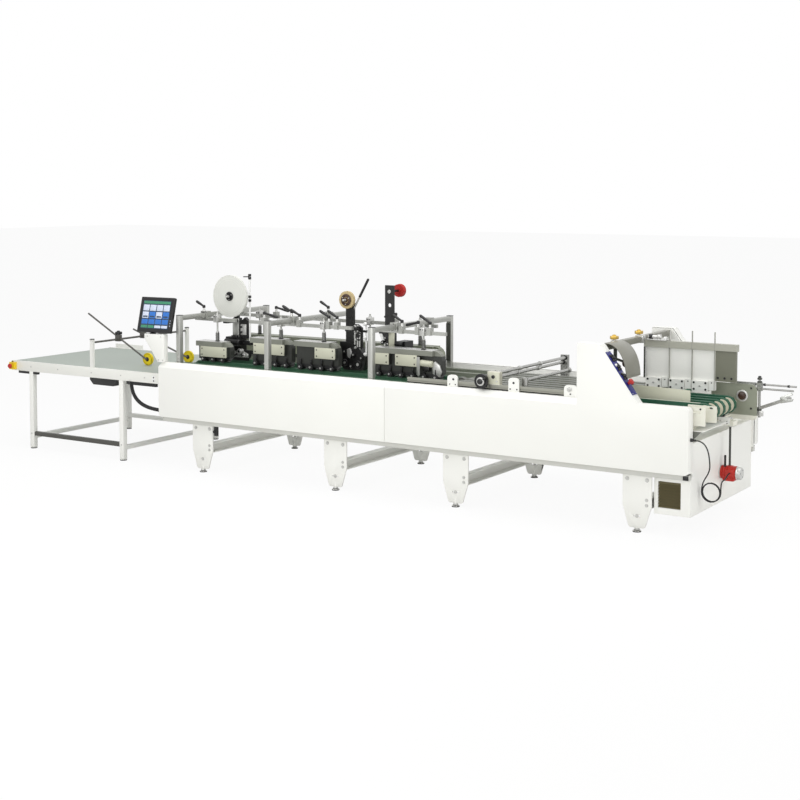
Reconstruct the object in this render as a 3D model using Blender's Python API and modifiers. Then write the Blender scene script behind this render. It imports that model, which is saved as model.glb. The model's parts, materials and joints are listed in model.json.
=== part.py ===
# Tape applicator machine: feeder on the right, side walls on eight legs, belt carriers with
# three tape heads under three gantries, and a delivery conveyor on the left.
# X runs along the machine, Y from the operator's side to the far side, Z up. Metres.
import math

import bmesh
import bpy
from mathutils import Matrix, Vector

SEAT = 0.0003                 # gap kept between pieces that rest on each other
PIN_GAP = 0.0005              # running gap of a wheel on its pin
BITE = 0.002                  # how far pieces that are welded together run into each other
PAST = 0.01                   # how far a cutter runs past what it cuts

# Side covers and walls. X = 0 is the seam between the two cover lengths.
MACHINE_WIDTH = 1.55
COVER_LEFT = -2.48
COVER_RIGHT = 2.65
COVER_BOTTOM = 0.48
COVER_TOP = 0.98
COVER_DEPTH = 0.085
COVER_CHAMFER = 0.045
COVER_SHEET = 0.003
SEAM_GAP = 0.003
CORNER_RADIUS = 0.03
HUMP_LEFT = 1.75
HUMP_RISE = 0.43
HUMP_FLAT = 0.19
HUMP_RADIUS = 0.02
HUMP_LENGTH = 0.50
CONSOLE_Y = (0.006, 0.064)
WALL_THICKNESS = 0.020
WALL_INSET = 0.006
BASE_RAIL_HEIGHT = 0.045
BASE_RAIL_DEPTH = 0.060

# Legs
LEG_POSITIONS = (-2.02, -0.55, 0.64, 2.22)
LEG_WIDTH = 0.235
LEG_FOOT_WIDTH = 0.130
LEG_FOOT_RADIUS = 0.020
LEG_TAPER_HEIGHT = 0.20
LEG_PLATE = 0.012
LEG_INSET = 0.075
LEG_SLOT = (0.060, 0.012)
LEG_SLOT_HEIGHT = 0.115
FOOT_CLEARANCE = 0.030
FOOT_SCREW_RADIUS = 0.010
FOOT_PAD_RADIUS = 0.032
FOOT_PAD_HEIGHT = 0.012
CHANNEL_BOTTOM = 0.185
CHANNEL_HEIGHT = 0.085
CHANNEL_WIDTH = 0.070
CHANNEL_SHEET = 0.006

# Delivery conveyor table
TABLE_LEFT = -4.50
TABLE_WIDTH = 1.40
TABLE_TOP = 0.86
TABLE_RAIL_HEIGHT = 0.095
TABLE_RAIL_THICKNESS = 0.030
TABLE_RAIL_SETBACK = 0.012
TABLE_LEG_SETBACK = (0.28, 0.54)
TABLE_TUBE = 0.050
TABLE_BAR = 0.040
TABLE_STRETCHER = 0.13
TABLE_BELT = 0.004
TABLE_BELT_MARGIN = 0.005
TABLE_END_GAP = 0.012
ROLLER_RADIUS = 0.035
DRIVE_SETBACK = (0.97, 0.62)
DRIVE_WIDTH = 0.26
DRIVE_HEIGHT = 0.09
GUARD_SETBACK = (0.10, 0.48)
GUARD_SHEET = 0.018
GUARD_HEIGHT = 0.045
STOP_DEPTH = 0.070
STOP_BOX = 0.070
STOP_SETBACK = 0.032
CONDUIT_RADIUS = 0.018
CONDUIT_SETBACK = 0.42
TUBE_LEAD = 0.010

# Press wheels over the table
PRESS_SETBACK = 0.92
PRESS_BAR_RISE = 0.24
PRESS_BAR_RADIUS = 0.010
PRESS_POST = (0.036, 0.028)
PRESS_ARM_RADIUS = 0.009
PRESS_CLAMP = (0.050, 0.044, 0.064)
PRESS_WHEEL_RADIUS = 0.060
PRESS_WHEEL_WIDTH = 0.024
PRESS_PIN = 0.045
PRESS_PIN_RADIUS = 0.006

# Operator's panel, on a pedestal at the left end of the near cover
PEDESTAL_RISE = 0.255
PEDESTAL_REACH = 0.18
PEDESTAL_RIGHT = 0.055
PEDESTAL_FOOT = 0.075
PEDESTAL_CORNER = 0.040
PEDESTAL_Y = (0.012, 0.072)
PANEL_SETBACK = 0.085
PANEL_Y = 0.082
PANEL_RISE = 0.425
PANEL_WIDTH = 0.38
PANEL_HEIGHT = 0.33
PANEL_DEPTH = 0.040
PANEL_EDGE = 0.006
PANEL_TILT = 15
PANEL_TURN = 5
SCREEN_MARGIN = 0.030
SCREEN_RECESS = 0.003
NECK_RADIUS = 0.016

# Sheet path and the belt lanes under it
PATH_HEIGHT = 0.955
LANE_SPREAD = 0.55
OUTER_LANE_INSET = 0.28
LANE_WIDTH = 0.050
LANE_DROP = 0.070
LANE_LEFT = 0.04
LANE_RIGHT = 0.35
LANE_SHAFT_RADIUS = 0.020

# Gantries
GANTRY_POSITIONS = (-2.33, -1.31, -0.21)
GANTRY_TUBE = 0.045
GANTRY_RISE = 0.455
GANTRY_DROP = 0.155

# Bars that hang under the gantries, their clamps, levers and spring rods
BAR_HEIGHT = 0.030
BAR_WIDTH = 0.030
CLAMP_WALL = 0.014
CLAMP_HALF = 0.030
STATION_HALF = 0.022
STATION_RISE = 0.030
LEVER_STUB = 0.050
LEVER_RADIUS = 0.009
SPRING_ROD_RADIUS = 0.008
SPRING_RADIUS = 0.015
SPRING_LENGTH = 0.070

# Belt carriers: position along the machine and height of the cap above the sheet path
CARRIERS = {
    "near_carrier_1": (-2.40, -2.01, 0.19),
    "near_carrier_2": (-1.755, -1.305, 0.255),
    "near_carrier_3": (-1.255, -0.79, 0.255),
    "near_carrier_4": (-0.41, 0.28, 0.25),
    "far_carrier": (-2.40, -0.05, 0.215),
}
CARRIER_BOXES = {
    "near_carrier_1": ((-2.33, -2.03),),
    "near_carrier_2": ((-1.70, -1.36),),
    "near_carrier_3": ((-1.01, -0.80),),
    "near_carrier_4": ((-0.400, -0.235), (-0.160, 0.050)),
    "far_carrier": (),
}
CARRIER_WIDTH = 0.13
CARRIER_CAP = 0.045
CARRIER_FRAME = 0.060
CARRIER_NOSE = 0.080
CARRIER_BOX_PROUD = 0.012
CARRIER_BOX_HEIGHT = 0.095
PRESS_ROLLER_RADIUS = 0.026
NEAR_ROLLER_PITCH = 0.115
FAR_ROLLER_PITCH = 0.345

# The bars: left and right end, clamped gantries, spring rods with their carrier, levers with
# how far the handle reaches along X and how far it rises
HOLD_DOWNS = {
    "near_hold_down_1": (-2.45, -1.97, (0,), ((-2.19, "near_carrier_1"),), ((-2.353, -0.09, 0.045),)),
    "near_hold_down_2": (-1.80, -0.66, (1,), ((-1.445, "near_carrier_2"), (-0.966, "near_carrier_3")),
                         ((-1.635, 0.15, -0.030), (-1.325, -0.10, 0.045), (-1.235, -0.10, 0.045),
                          (-0.911, -0.10, 0.050), (-0.824, -0.10, 0.055))),
    "near_hold_down_3": (-0.42, 0.30, (2,), ((0.075, "near_carrier_4"),),
                         ((-0.143, -0.09, 0.050), (0.020, -0.12, -0.030), (0.139, -0.10, 0.060))),
    "far_hold_down": (-2.45, -0.12, (0, 1, 2),
                      ((-2.12, "far_carrier"), (-0.84, "far_carrier"), (-0.30, "far_carrier")),
                      ((-1.92, 0.15, -0.030), (-1.31, -0.09, 0.050), (-0.56, -0.12, -0.030))),
}

# Tape heads, over a line between the two carrier lanes
TAPE_SHIFT = -0.075
HEAD_PLATE = 0.024
HEAD_HALF = 0.045
SPINDLE_RADIUS = 0.010
REEL_LIP = 0.006
REEL_SETBACK = 0.048
HEAD_ROLLER_RADIUS = 0.020
HEAD_ROLLER_REACH = 0.040
HOLE_RADIUS = 0.018
TOWER_RADIUS = 0.008
TOWER_X = 0.127
TOWER_RISE = 0.80

# Middle section
GUIDE_RAIL_GAP = 0.13
GUIDE_RAIL_LEFT = 0.17
GUIDE_RAIL_HEIGHT = 0.050
GUIDE_RAIL_GROOVE = 0.008
SMALL_PLATES = ((0.611, 0.095, 0.095), (1.170, 0.095, 0.110), (1.664, 0.110, 0.089))
SMALL_PLATE_SHEET = 0.019
SMALL_PLATE_RADIUS = 0.030
HANDWHEEL_X = 0.90
HANDWHEEL_RISE = 0.068
HANDWHEEL_Y = 0.042
HANDWHEEL_RADIUS = 0.060
HANDWHEEL_PIN = 0.008
COUNTER_REACH = 0.020
LONG_SHAFTS = ((0.965, 0.148), (0.945, 0.108))
SHORT_SHAFT = (1.240, 0.112)
SHORT_SHAFT_END = 0.90
GUIDE_SHAFT_RADIUS = 0.014
SHAFT_BLOCK = 0.015
SHAFT_BLOCK_MARGIN = 0.010
SHAFT_COLLAR = (0.024, 0.024)
SLAT_PITCH = 0.115
SLAT_WIDTH = 0.066
SLAT_HEIGHT = 0.030
SLAT_INSET = 0.167
BED_LEFT = 0.40
BED_PAST_HUMP = 0.23

# Feeder
FEEDER_BEAM_OFFSET = 0.15
FEEDER_BEAM_RISE = 0.39
FEEDER_BEAM = 0.050
SIDE_GUIDE_SHIFT = 0.125
FEED_BELT_RISE = 0.015
FEED_PULLEY_RADIUS = 0.0675
FEED_BELT_WIDTH = 0.040
FEED_LANE_PITCH = 0.12
FEED_LANE_COUNT = 5
FEED_LANE_SHIFT = -0.415
FRONT_GUIDE_SHIFTS = (-0.38, 0.0)
FRONT_GUIDE_SHEET = 0.008
FRONT_GUIDE_RADIUS = 0.385
FRONT_GUIDE_CENTRE = (-0.170, -0.291)
FRONT_GUIDE_ARC = (10, 63)
FRONT_GUIDE_HALF = 0.085
FAR_PLATE_SHIFT = 0.225
FAR_PLATE_SHEET = 0.012
REAR_BAR_TOP = 0.80
REAR_BAR = (0.060, 0.050)
REAR_REACH = 3.12
SUPPORT_ROD_RADIUS = 0.008

# Control cabinet between the walls at the feeder's end
CABINET_LENGTH = 0.285
CABINET_SETBACK = 0.020
CABINET_HEIGHTS = (0.15, 0.70)
GRILLE_SIZE = (0.180, 0.200)
GRILLE_CORNER = (0.030, 0.050)
GRILLE_DEPTH = 0.030
LOUVRES = 9
LOUVRE_SHEET = 0.002

# Vibrator and its lead
VIBRATOR_SETOUT = 0.05
VIBRATOR_SHIFT = -0.03
VIBRATOR_HEIGHT = 0.395
VIBRATOR_LENGTH = 0.13
VIBRATOR_RADIUS = 0.042
GLAND_Y = 0.045
GLAND_HEIGHT = 0.742
GLAND_LENGTH = 0.020
CORD_RADIUS = 0.005
COIL_CENTRE = (2.725, 0.28, 0.32)
COIL_RADIUS = 0.070
COIL_HALF = 0.011
COIL_WIDTH = 0.032
LEAD_SAG = 0.035

# Places that follow from the sizes above
MIDDLE = MACHINE_WIDTH / 2
RAIL_TOP = COVER_BOTTOM - SEAT
RAIL_BOTTOM = RAIL_TOP - BASE_RAIL_HEIGHT
WALL_OUTER = COVER_DEPTH + SEAT
WALL_INNER = WALL_OUTER + WALL_THICKNESS
BETWEEN_WALLS = (WALL_INNER + SEAT, MACHINE_WIDTH - WALL_INNER - SEAT)
HUMP_TOP = COVER_TOP + HUMP_RISE
HUMP_FOOT = HUMP_LEFT + HUMP_LENGTH
TABLE_RIGHT = COVER_LEFT - TABLE_END_GAP
TABLE_NEAR = (MACHINE_WIDTH - TABLE_WIDTH) / 2
TABLE_RAIL_LEFT = TABLE_LEFT + TABLE_RAIL_SETBACK
TABLE_RAIL_BOTTOM = TABLE_TOP - TABLE_RAIL_HEIGHT
TABLE_LEGS = (TABLE_LEFT + TABLE_LEG_SETBACK[0], COVER_LEFT - TABLE_LEG_SETBACK[1])
BELT_NEAR = TABLE_NEAR + TABLE_RAIL_THICKNESS + SEAT
PRESS_BAR_X = COVER_LEFT - PRESS_SETBACK
PRESS_BAR_Z = TABLE_TOP + PRESS_BAR_RISE
PRESS_WHEEL_Z = TABLE_TOP + 0.005 + PRESS_WHEEL_RADIUS
PRESS_ARMS = {
    "press_wheel_near": (MIDDLE - 0.325, 0.40, 0.36),
    "press_wheel_far": (MIDDLE + 0.025, 0.13, 0.57),
}
LANE_NEAR = MIDDLE - LANE_SPREAD / 2
LANE_FAR = MIDDLE + LANE_SPREAD / 2
GANTRY_TOP = PATH_HEIGHT + GANTRY_RISE
BAR_TOP = GANTRY_TOP - GANTRY_TUBE - SEAT
BAR_BOTTOM = BAR_TOP - BAR_HEIGHT
TAPE_Y = MIDDLE + TAPE_SHIFT
REEL_1 = (-2.155, TAPE_Y - REEL_SETBACK, PATH_HEIGHT + 0.605)
REEL_2 = (-0.820, TAPE_Y - REEL_SETBACK, PATH_HEIGHT + 0.628)
REEL_3 = (-0.365, TAPE_Y + 0.105, PATH_HEIGHT + 0.720)
HANDWHEEL_Z = COVER_TOP + HANDWHEEL_RISE
FEEDER_BEAM_X = HUMP_LEFT + FEEDER_BEAM_OFFSET
FEEDER_BEAM_Z = PATH_HEIGHT + FEEDER_BEAM_RISE
FEED_BELT_TOP = PATH_HEIGHT + FEED_BELT_RISE
SIDE_GUIDE_Y = MIDDLE + SIDE_GUIDE_SHIFT
FAR_PLATE_Y = MIDDLE + FAR_PLATE_SHIFT
VIBRATOR_X = COVER_RIGHT + VIBRATOR_SETOUT
VIBRATOR_Y = MIDDLE + VIBRATOR_SHIFT


def material(name, colour, roughness, metallic=0.0):
    made = bpy.data.materials.new(name)
    made.use_nodes = True
    shader = made.node_tree.nodes["Principled BSDF"]
    shader.inputs["Base Color"].default_value = (*colour, 1.0)
    shader.inputs["Roughness"].default_value = roughness
    shader.inputs["Metallic"].default_value = metallic
    return made


for old in list(bpy.data.objects):
    bpy.data.objects.remove(old)
parts = bpy.data.collections.new("tape_applicator")
bpy.context.scene.collection.children.link(parts)

WHITE = material("white_paint", (0.86, 0.86, 0.83), 0.35)
CREAM = material("cream_paint", (0.72, 0.71, 0.62), 0.45)
GREY = material("grey_paint", (0.36, 0.37, 0.34), 0.45)
ALUMINIUM = material("aluminium", (0.62, 0.63, 0.62), 0.35, 0.9)
STEEL = material("steel", (0.55, 0.55, 0.54), 0.28, 1.0)
BLACK = material("black_paint", (0.02, 0.02, 0.02), 0.4)
GREEN = material("green_belt", (0.01, 0.22, 0.11), 0.6)
TABLE_GREEN = material("table_belt", (0.32, 0.38, 0.34), 0.6)
YELLOW = material("yellow_plastic", (0.85, 0.62, 0.02), 0.4)
RED = material("red_plastic", (0.55, 0.03, 0.02), 0.35)
BLUE = material("blue_panel", (0.02, 0.06, 0.35), 0.4)
PAPER = material("tape_white", (0.85, 0.84, 0.80), 0.6)


def add(name, bm, place=None):
    mesh = bpy.data.meshes.new(name)
    bm.to_mesh(mesh)
    bm.free()
    made = bpy.data.objects.new(name, mesh)
    parts.objects.link(made)
    if place is not None:
        made.matrix_world = place
    return made


def evaluated_mesh(made):
    bpy.context.view_layer.update()
    graph = bpy.context.evaluated_depsgraph_get()
    return bpy.data.meshes.new_from_object(made.evaluated_get(graph))


def block(x, y, z):
    """A box between the low and high value on each axis."""
    size = [high - low for low, high in (x, y, z)]
    centre = [(high + low) / 2 for low, high in (x, y, z)]
    bm = bmesh.new()
    bmesh.ops.create_cube(bm, size=1.0, matrix=Matrix.Diagonal((*size, 1.0)))
    return add("block", bm, Matrix.Translation(centre))


def rod(start, end, radius, sides=12):
    """A round bar between two points."""
    start, end = Vector(start), Vector(end)
    bm = bmesh.new()
    bmesh.ops.create_cone(bm, cap_ends=True, segments=sides, radius1=radius, radius2=radius,
                          depth=(end - start).length)
    turn = (end - start).to_track_quat("Z", "Y").to_matrix().to_4x4()
    return add("rod", bm, Matrix.Translation((start + end) / 2) @ turn)


PLANES = {
    "XZ": Matrix(((1, 0, 0), (0, 0, -1), (0, 1, 0))).to_4x4(),
    "YZ": Matrix(((0, 0, 1), (1, 0, 0), (0, 1, 0))).to_4x4(),
    "XY": Matrix.Identity(4),
}
ACROSS = {"XZ": 1, "YZ": 0, "XY": 2}


def plate(outline, plane, low, high):
    """A flat outline in a plane, from low to high across it."""
    curve = bpy.data.curves.new("outline", "CURVE")
    curve.dimensions = "2D"
    curve.fill_mode = "BOTH"
    curve.extrude = (high - low) / 2
    spline = curve.splines.new("POLY")
    spline.points.add(len(outline) - 1)
    for point, (u, v) in zip(spline.points, outline):
        point.co = (u, v, 0.0, 1.0)
    spline.use_cyclic_u = True
    flat = bpy.data.objects.new("outline", curve)
    parts.objects.link(flat)
    centre = [0.0, 0.0, 0.0]
    centre[ACROSS[plane]] = (low + high) / 2
    flat.matrix_world = Matrix.Translation(centre) @ PLANES[plane]
    bm = bmesh.new()
    bm.from_mesh(evaluated_mesh(flat))
    bmesh.ops.remove_doubles(bm, verts=bm.verts, dist=0.00001)
    place = flat.matrix_world.copy()
    bpy.data.objects.remove(flat)
    return add("plate", bm, place)


def turned(profile, centre, axis, steps=24):
    """A profile of (radius, height) points turned round an axis; it runs down its outer side."""
    mesh = bpy.data.meshes.new("turned")
    count = len(profile)
    closed = profile[0][0] > 0
    edges = [(i, (i + 1) % count) for i in range(count if closed else count - 1)]
    mesh.from_pydata([(r, 0.0, h) for r, h in profile], edges, [])
    made = bpy.data.objects.new("turned", mesh)
    parts.objects.link(made)
    screw = made.modifiers.new("turn", "SCREW")
    screw.steps = screw.render_steps = steps
    screw.use_merge_vertices = True
    screw.merge_threshold = 0.00001
    turn = Vector(axis).to_track_quat("Z", "Y").to_matrix().to_4x4()
    made.matrix_world = Matrix.Translation(centre) @ turn
    made.data = evaluated_mesh(made)
    made.modifiers.clear()
    return made


def join(base, others, operation):
    tools = bpy.data.collections.new("tools")
    bpy.context.scene.collection.children.link(tools)
    for other in others:
        tools.objects.link(other)
    step = base.modifiers.new("join", "BOOLEAN")
    step.operation = operation
    step.operand_type = "COLLECTION"
    step.collection = tools
    base.data = evaluated_mesh(base)
    base.modifiers.clear()
    for other in others:
        bpy.data.objects.remove(other)
    bpy.data.collections.remove(tools)
    return base


def fuse(base, *others):
    return join(base, others, "UNION")


def cut(base, *tools):
    return join(base, tools, "DIFFERENCE")


def part(name, made, finish, smooth=False):
    """Names a finished solid and gives it its material."""
    made.name = name
    made.data.name = name
    made.data.materials.clear()
    made.data.materials.append(finish)
    if smooth:
        made.data.shade_smooth()
        made.data.set_sharp_from_angle(angle=math.radians(35))
    return made


def opposite(made, name):
    """The same piece on the far side of the machine."""
    mesh = made.data.copy()
    mesh.transform(made.matrix_world)
    mesh.transform(Matrix.Translation((0, MACHINE_WIDTH, 0)) @ Matrix.Diagonal((1, -1, 1, 1)))
    mesh.flip_normals()
    mirrored = bpy.data.objects.new(name, mesh)
    mesh.name = name
    parts.objects.link(mirrored)
    return mirrored


def rounded(outline, radii, steps=5):
    """The outline with an arc of the given radius at each corner; 0 keeps the corner."""
    points = []
    count = len(outline)
    for i, (corner, radius) in enumerate(zip(outline, radii)):
        corner = Vector(corner)
        if radius == 0:
            points.append(tuple(corner))
            continue
        before = (Vector(outline[i - 1]) - corner).normalized()
        after = (Vector(outline[(i + 1) % count]) - corner).normalized()
        half = before.angle(after) / 2
        centre = corner + (before + after).normalized() * (radius / math.sin(half))
        first = corner + before * (radius / math.tan(half)) - centre
        turn = math.pi - 2 * half
        sign = 1 if before.x * after.y - before.y * after.x < 0 else -1
        for k in range(steps + 1):
            angle = sign * turn * k / steps
            points.append((centre.x + first.x * math.cos(angle) - first.y * math.sin(angle),
                           centre.y + first.x * math.sin(angle) + first.y * math.cos(angle)))
    return points


def inset(outline, distance):
    """The outline, given anticlockwise, moved inwards by a distance."""
    points = []
    count = len(outline)
    for i, corner in enumerate(outline):
        corner = Vector(corner)
        before = (corner - Vector(outline[i - 1])).normalized()
        after = (Vector(outline[(i + 1) % count]) - corner).normalized()
        normal = (Vector((-before.y, before.x)) + Vector((-after.y, after.x))) / 2
        points.append(tuple(corner + normal * (distance / normal.length_squared)))
    return points


def far(y):
    return MACHINE_WIDTH - y


def stadium(left, right, bottom, top, steps=4):
    """A belt's outline round two end pulleys, anticlockwise."""
    radius = (top - bottom) / 2
    points = []
    for centre, start in ((right - radius, -90), (left + radius, 90)):
        for k in range(steps + 1):
            angle = math.radians(start + 180 * k / steps)
            points.append((centre + radius * math.cos(angle), bottom + radius + radius * math.sin(angle)))
    return points


def link(start, end, half, steps=4):
    """The outline of a flat arm with round ends between two points."""
    start, end = Vector(start), Vector(end)
    heading = math.atan2(end.y - start.y, end.x - start.x)
    points = []
    for centre, turn in ((end, -math.pi / 2), (start, math.pi / 2)):
        for k in range(steps + 1):
            angle = heading + turn + math.pi * k / steps
            points.append((centre.x + half * math.cos(angle), centre.y + half * math.sin(angle)))
    return points


def around(centre, half):
    return (centre - half, centre + half)


def cover_outline(left, right):
    """The outline of a cover length, anticlockwise, and the radius of each corner."""
    if right < HUMP_LEFT:
        return ([(left, COVER_BOTTOM), (right, COVER_BOTTOM), (right, COVER_TOP), (left, COVER_TOP)],
                [CORNER_RADIUS, 0, 0, CORNER_RADIUS])
    flat_right = HUMP_LEFT + HUMP_FLAT
    return ([(left, COVER_BOTTOM), (right, COVER_BOTTOM), (right, COVER_TOP), (HUMP_FOOT, COVER_TOP),
             (flat_right, HUMP_TOP), (HUMP_LEFT, HUMP_TOP), (HUMP_LEFT, COVER_TOP), (left, COVER_TOP)],
            [0, CORNER_RADIUS, CORNER_RADIUS, HUMP_RADIUS, HUMP_RADIUS, 0, 0, 0])


def cover_block(left, right, skin, deep):
    """The cover's solid form, its skin moved inwards, with the chamfer along its outer top edge."""
    corners, radii = cover_outline(left, right)
    radii = [max(radius - skin, 0) for radius in radii]
    body = plate(rounded(inset(corners, skin), radii), "XZ", skin, deep)
    size = COVER_CHAMFER - skin * (2 - math.sqrt(2))
    top = COVER_TOP - skin
    wedge = [(skin - PAST, top - size - PAST), (skin + size + PAST, top + PAST), (skin - PAST, top + PAST)]
    end = min(right + PAST, HUMP_LEFT + skin)
    return cut(body, plate(wedge, "YZ", left - PAST, end))


def side_cover(name, left, right):
    shell = cover_block(left, right, 0.0, COVER_DEPTH)
    room = cover_block(left, right, COVER_SHEET, COVER_DEPTH + PAST)
    return part(name, cut(shell, room), WHITE)


def covers():
    left = side_cover("near_cover_left", COVER_LEFT, -SEAM_GAP / 2)
    right = side_cover("near_cover_right", SEAM_GAP / 2, COVER_RIGHT)
    opposite(left, "far_cover_left")
    opposite(right, "far_cover_right")


def walls():
    corners, radii = cover_outline(COVER_LEFT, COVER_RIGHT)
    radii[0] = 0
    radii[1] = 0
    outline = inset(corners, WALL_INSET)
    foot = (RAIL_BOTTOM + RAIL_TOP) / 2
    outline[0] = (outline[0][0], foot)
    outline[1] = (outline[1][0], foot)
    wall = plate(rounded(outline, radii), "XZ", WALL_OUTER, WALL_INNER)
    rail_inner = WALL_INNER - BITE
    rail = block((COVER_LEFT + 2 * WALL_INSET, COVER_RIGHT - 2 * WALL_INSET),
                 (rail_inner - BASE_RAIL_DEPTH, rail_inner), (RAIL_BOTTOM, RAIL_TOP))
    near = part("near_side_wall", fuse(wall, rail), GREY)
    opposite(near, "far_side_wall")


def levelling_foot(x, y, top):
    """A pad on the floor with its screw up into the leg."""
    profile = [(0, top), (FOOT_SCREW_RADIUS, top), (FOOT_SCREW_RADIUS, FOOT_PAD_HEIGHT),
               (FOOT_PAD_RADIUS, FOOT_PAD_HEIGHT), (FOOT_PAD_RADIUS, 0), (0, 0)]
    return turned(profile, (x, y, 0), (0, 0, 1), 8)


def leg_frame(number, x):
    """Two plate legs that taper to their feet, with a channel across between them."""
    top = RAIL_BOTTOM - SEAT
    half, foot = LEG_WIDTH / 2, LEG_FOOT_WIDTH / 2
    outline = [(x - foot, FOOT_CLEARANCE), (x + foot, FOOT_CLEARANCE), (x + half, LEG_TAPER_HEIGHT),
               (x + half, top), (x - half, top), (x - half, LEG_TAPER_HEIGHT)]
    outline = rounded(outline, [LEG_FOOT_RADIUS] * 3 + [0, 0, LEG_FOOT_RADIUS], 2)
    solids = []
    slots = []
    near_y = (LEG_INSET, LEG_INSET + LEG_PLATE)
    for y in (near_y, (far(near_y[1]), far(near_y[0]))):
        solids.append(plate(outline, "XZ", *y))
        solids.append(levelling_foot(x, sum(y) / 2, 2 * FOOT_CLEARANCE))
        slot = stadium(*around(x, LEG_SLOT[0] / 2), LEG_SLOT_HEIGHT, LEG_SLOT_HEIGHT + LEG_SLOT[1], 2)
        slots.append(plate(slot, "XZ", y[0] - PAST, y[1] + PAST))
    y = (near_y[1] - BITE / 2, far(near_y[1]) + BITE / 2)
    z = (CHANNEL_BOTTOM, CHANNEL_BOTTOM + CHANNEL_HEIGHT)
    right = x + half - 0.005
    channel = block((right - CHANNEL_WIDTH, right), y, z)
    hollow = block((right - CHANNEL_WIDTH + CHANNEL_SHEET, right + PAST),
                   (y[0] - PAST, y[1] + PAST), (z[0] + CHANNEL_SHEET, z[1] - CHANNEL_SHEET))
    solids.append(cut(channel, hollow))
    frame = fuse(solids[0], *solids[1:])
    return part("leg_frame_%d" % number, cut(frame, *slots), WHITE)


def table():
    near_y = (TABLE_NEAR, TABLE_NEAR + TABLE_RAIL_THICKNESS)
    far_y = (far(near_y[1]), far(near_y[0]))
    z = (TABLE_RAIL_BOTTOM, TABLE_TOP)
    rail = block((TABLE_RAIL_LEFT, TABLE_RIGHT), near_y, z)
    drive_top = TABLE_TOP - 2 * ROLLER_RADIUS - 0.005
    left, right = COVER_LEFT - DRIVE_SETBACK[0], COVER_LEFT - DRIVE_SETBACK[1]
    low = drive_top - DRIVE_HEIGHT
    corner = DRIVE_HEIGHT / 2
    outline = [(left + corner, low), (right - corner, low), (right, drive_top - corner), (right, drive_top),
               (left, drive_top), (left, drive_top - corner)]
    drive = plate(outline, "XZ", near_y[1] - BITE, near_y[1] + DRIVE_WIDTH)
    part("table_near_rail", fuse(rail, drive), WHITE)
    rail = block((TABLE_RAIL_LEFT, TABLE_RIGHT), far_y, z)
    guard_back = far_y[1] - BITE
    guard = block((TABLE_LEFT + GUARD_SETBACK[0], TABLE_LEFT + GUARD_SETBACK[1]),
                  (guard_back - GUARD_SHEET, guard_back), (TABLE_TOP - BITE, TABLE_TOP + GUARD_HEIGHT))
    part("table_far_rail", fuse(rail, guard), WHITE)


def table_legs():
    """Four square legs with a stretcher on each side and a bar across at each pair."""
    half, bar_half = TABLE_TUBE / 2, TABLE_BAR / 2
    near_y = TABLE_NEAR + half
    leg_top = TABLE_RAIL_BOTTOM - SEAT
    side_z = (TABLE_STRETCHER, TABLE_STRETCHER + TABLE_BAR)
    cross_z = (side_z[0] - 0.75 * TABLE_BAR, side_z[1] - 0.75 * TABLE_BAR)
    solids = []
    for y in (near_y, far(near_y)):
        for x in TABLE_LEGS:
            solids.append(block(around(x, half), around(y, half), (FOOT_CLEARANCE / 2, leg_top)))
            solids.append(levelling_foot(x, y, FOOT_CLEARANCE))
        solids.append(block(TABLE_LEGS, around(y, bar_half), side_z))
    for x in TABLE_LEGS:
        solids.append(block(around(x, bar_half), (near_y, far(near_y)), cross_z))
    part("table_legs", fuse(solids[0], *solids[1:]), ALUMINIUM)


def table_belt():
    bottom = TABLE_TOP - 2 * ROLLER_RADIUS
    bed_y = (BELT_NEAR, far(BELT_NEAR))
    belt_y = (BELT_NEAR + TABLE_BELT_MARGIN, far(BELT_NEAR + TABLE_BELT_MARGIN))
    outer = plate(stadium(TABLE_LEFT, TABLE_RIGHT, bottom, TABLE_TOP, 6), "XZ", *belt_y)
    room = plate(stadium(TABLE_LEFT + TABLE_BELT, TABLE_RIGHT - TABLE_BELT, bottom + TABLE_BELT,
                         TABLE_TOP - TABLE_BELT, 6), "XZ", belt_y[0] - PAST, belt_y[1] + PAST)
    part("table_belt", cut(outer, room), TABLE_GREEN)
    skin = TABLE_BELT + SEAT
    outline = stadium(TABLE_LEFT + skin, TABLE_RIGHT - skin, bottom + skin, TABLE_TOP - skin, 6)
    bed = plate(outline, "XZ", *bed_y)
    part("table_bed", bed, GREY)


def mushroom(centre, direction, stem):
    """A push button with a mushroom head and a stem down into what carries it."""
    profile = [(0, 0.035), (0.018, 0.035), (0.024, 0.028), (0.024, 0.018), (0.012, 0.012), (0.012, -stem),
               (0, -stem)]
    return turned(profile, centre, direction, 12)


def table_fittings():
    left = TABLE_RAIL_LEFT + STOP_SETBACK
    back = TABLE_NEAR - SEAT
    face = back - STOP_DEPTH / 2
    z = TABLE_TOP - STOP_BOX * 0.7
    body = block((left - STOP_BOX / 2, left + STOP_BOX / 2), (face, back), around(z, STOP_BOX / 2))
    part("emergency_stop", fuse(body, mushroom((left, face, z), (0, -1, 0), 0.005)), YELLOW)
    rail_middle = TABLE_NEAR + TABLE_RAIL_THICKNESS / 2
    start = Vector((COVER_LEFT - CONDUIT_SETBACK, rail_middle, TABLE_RAIL_BOTTOM - SEAT))
    end = Vector((COVER_LEFT - SEAT, COVER_DEPTH / 2, COVER_BOTTOM + 0.05))
    points = smooth_route(start, Vector((0, 0, -0.20)), end, Vector((-0.20, 0, 0)), 14)
    part("conduit", tube(points, CONDUIT_RADIUS), BLACK)


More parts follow.
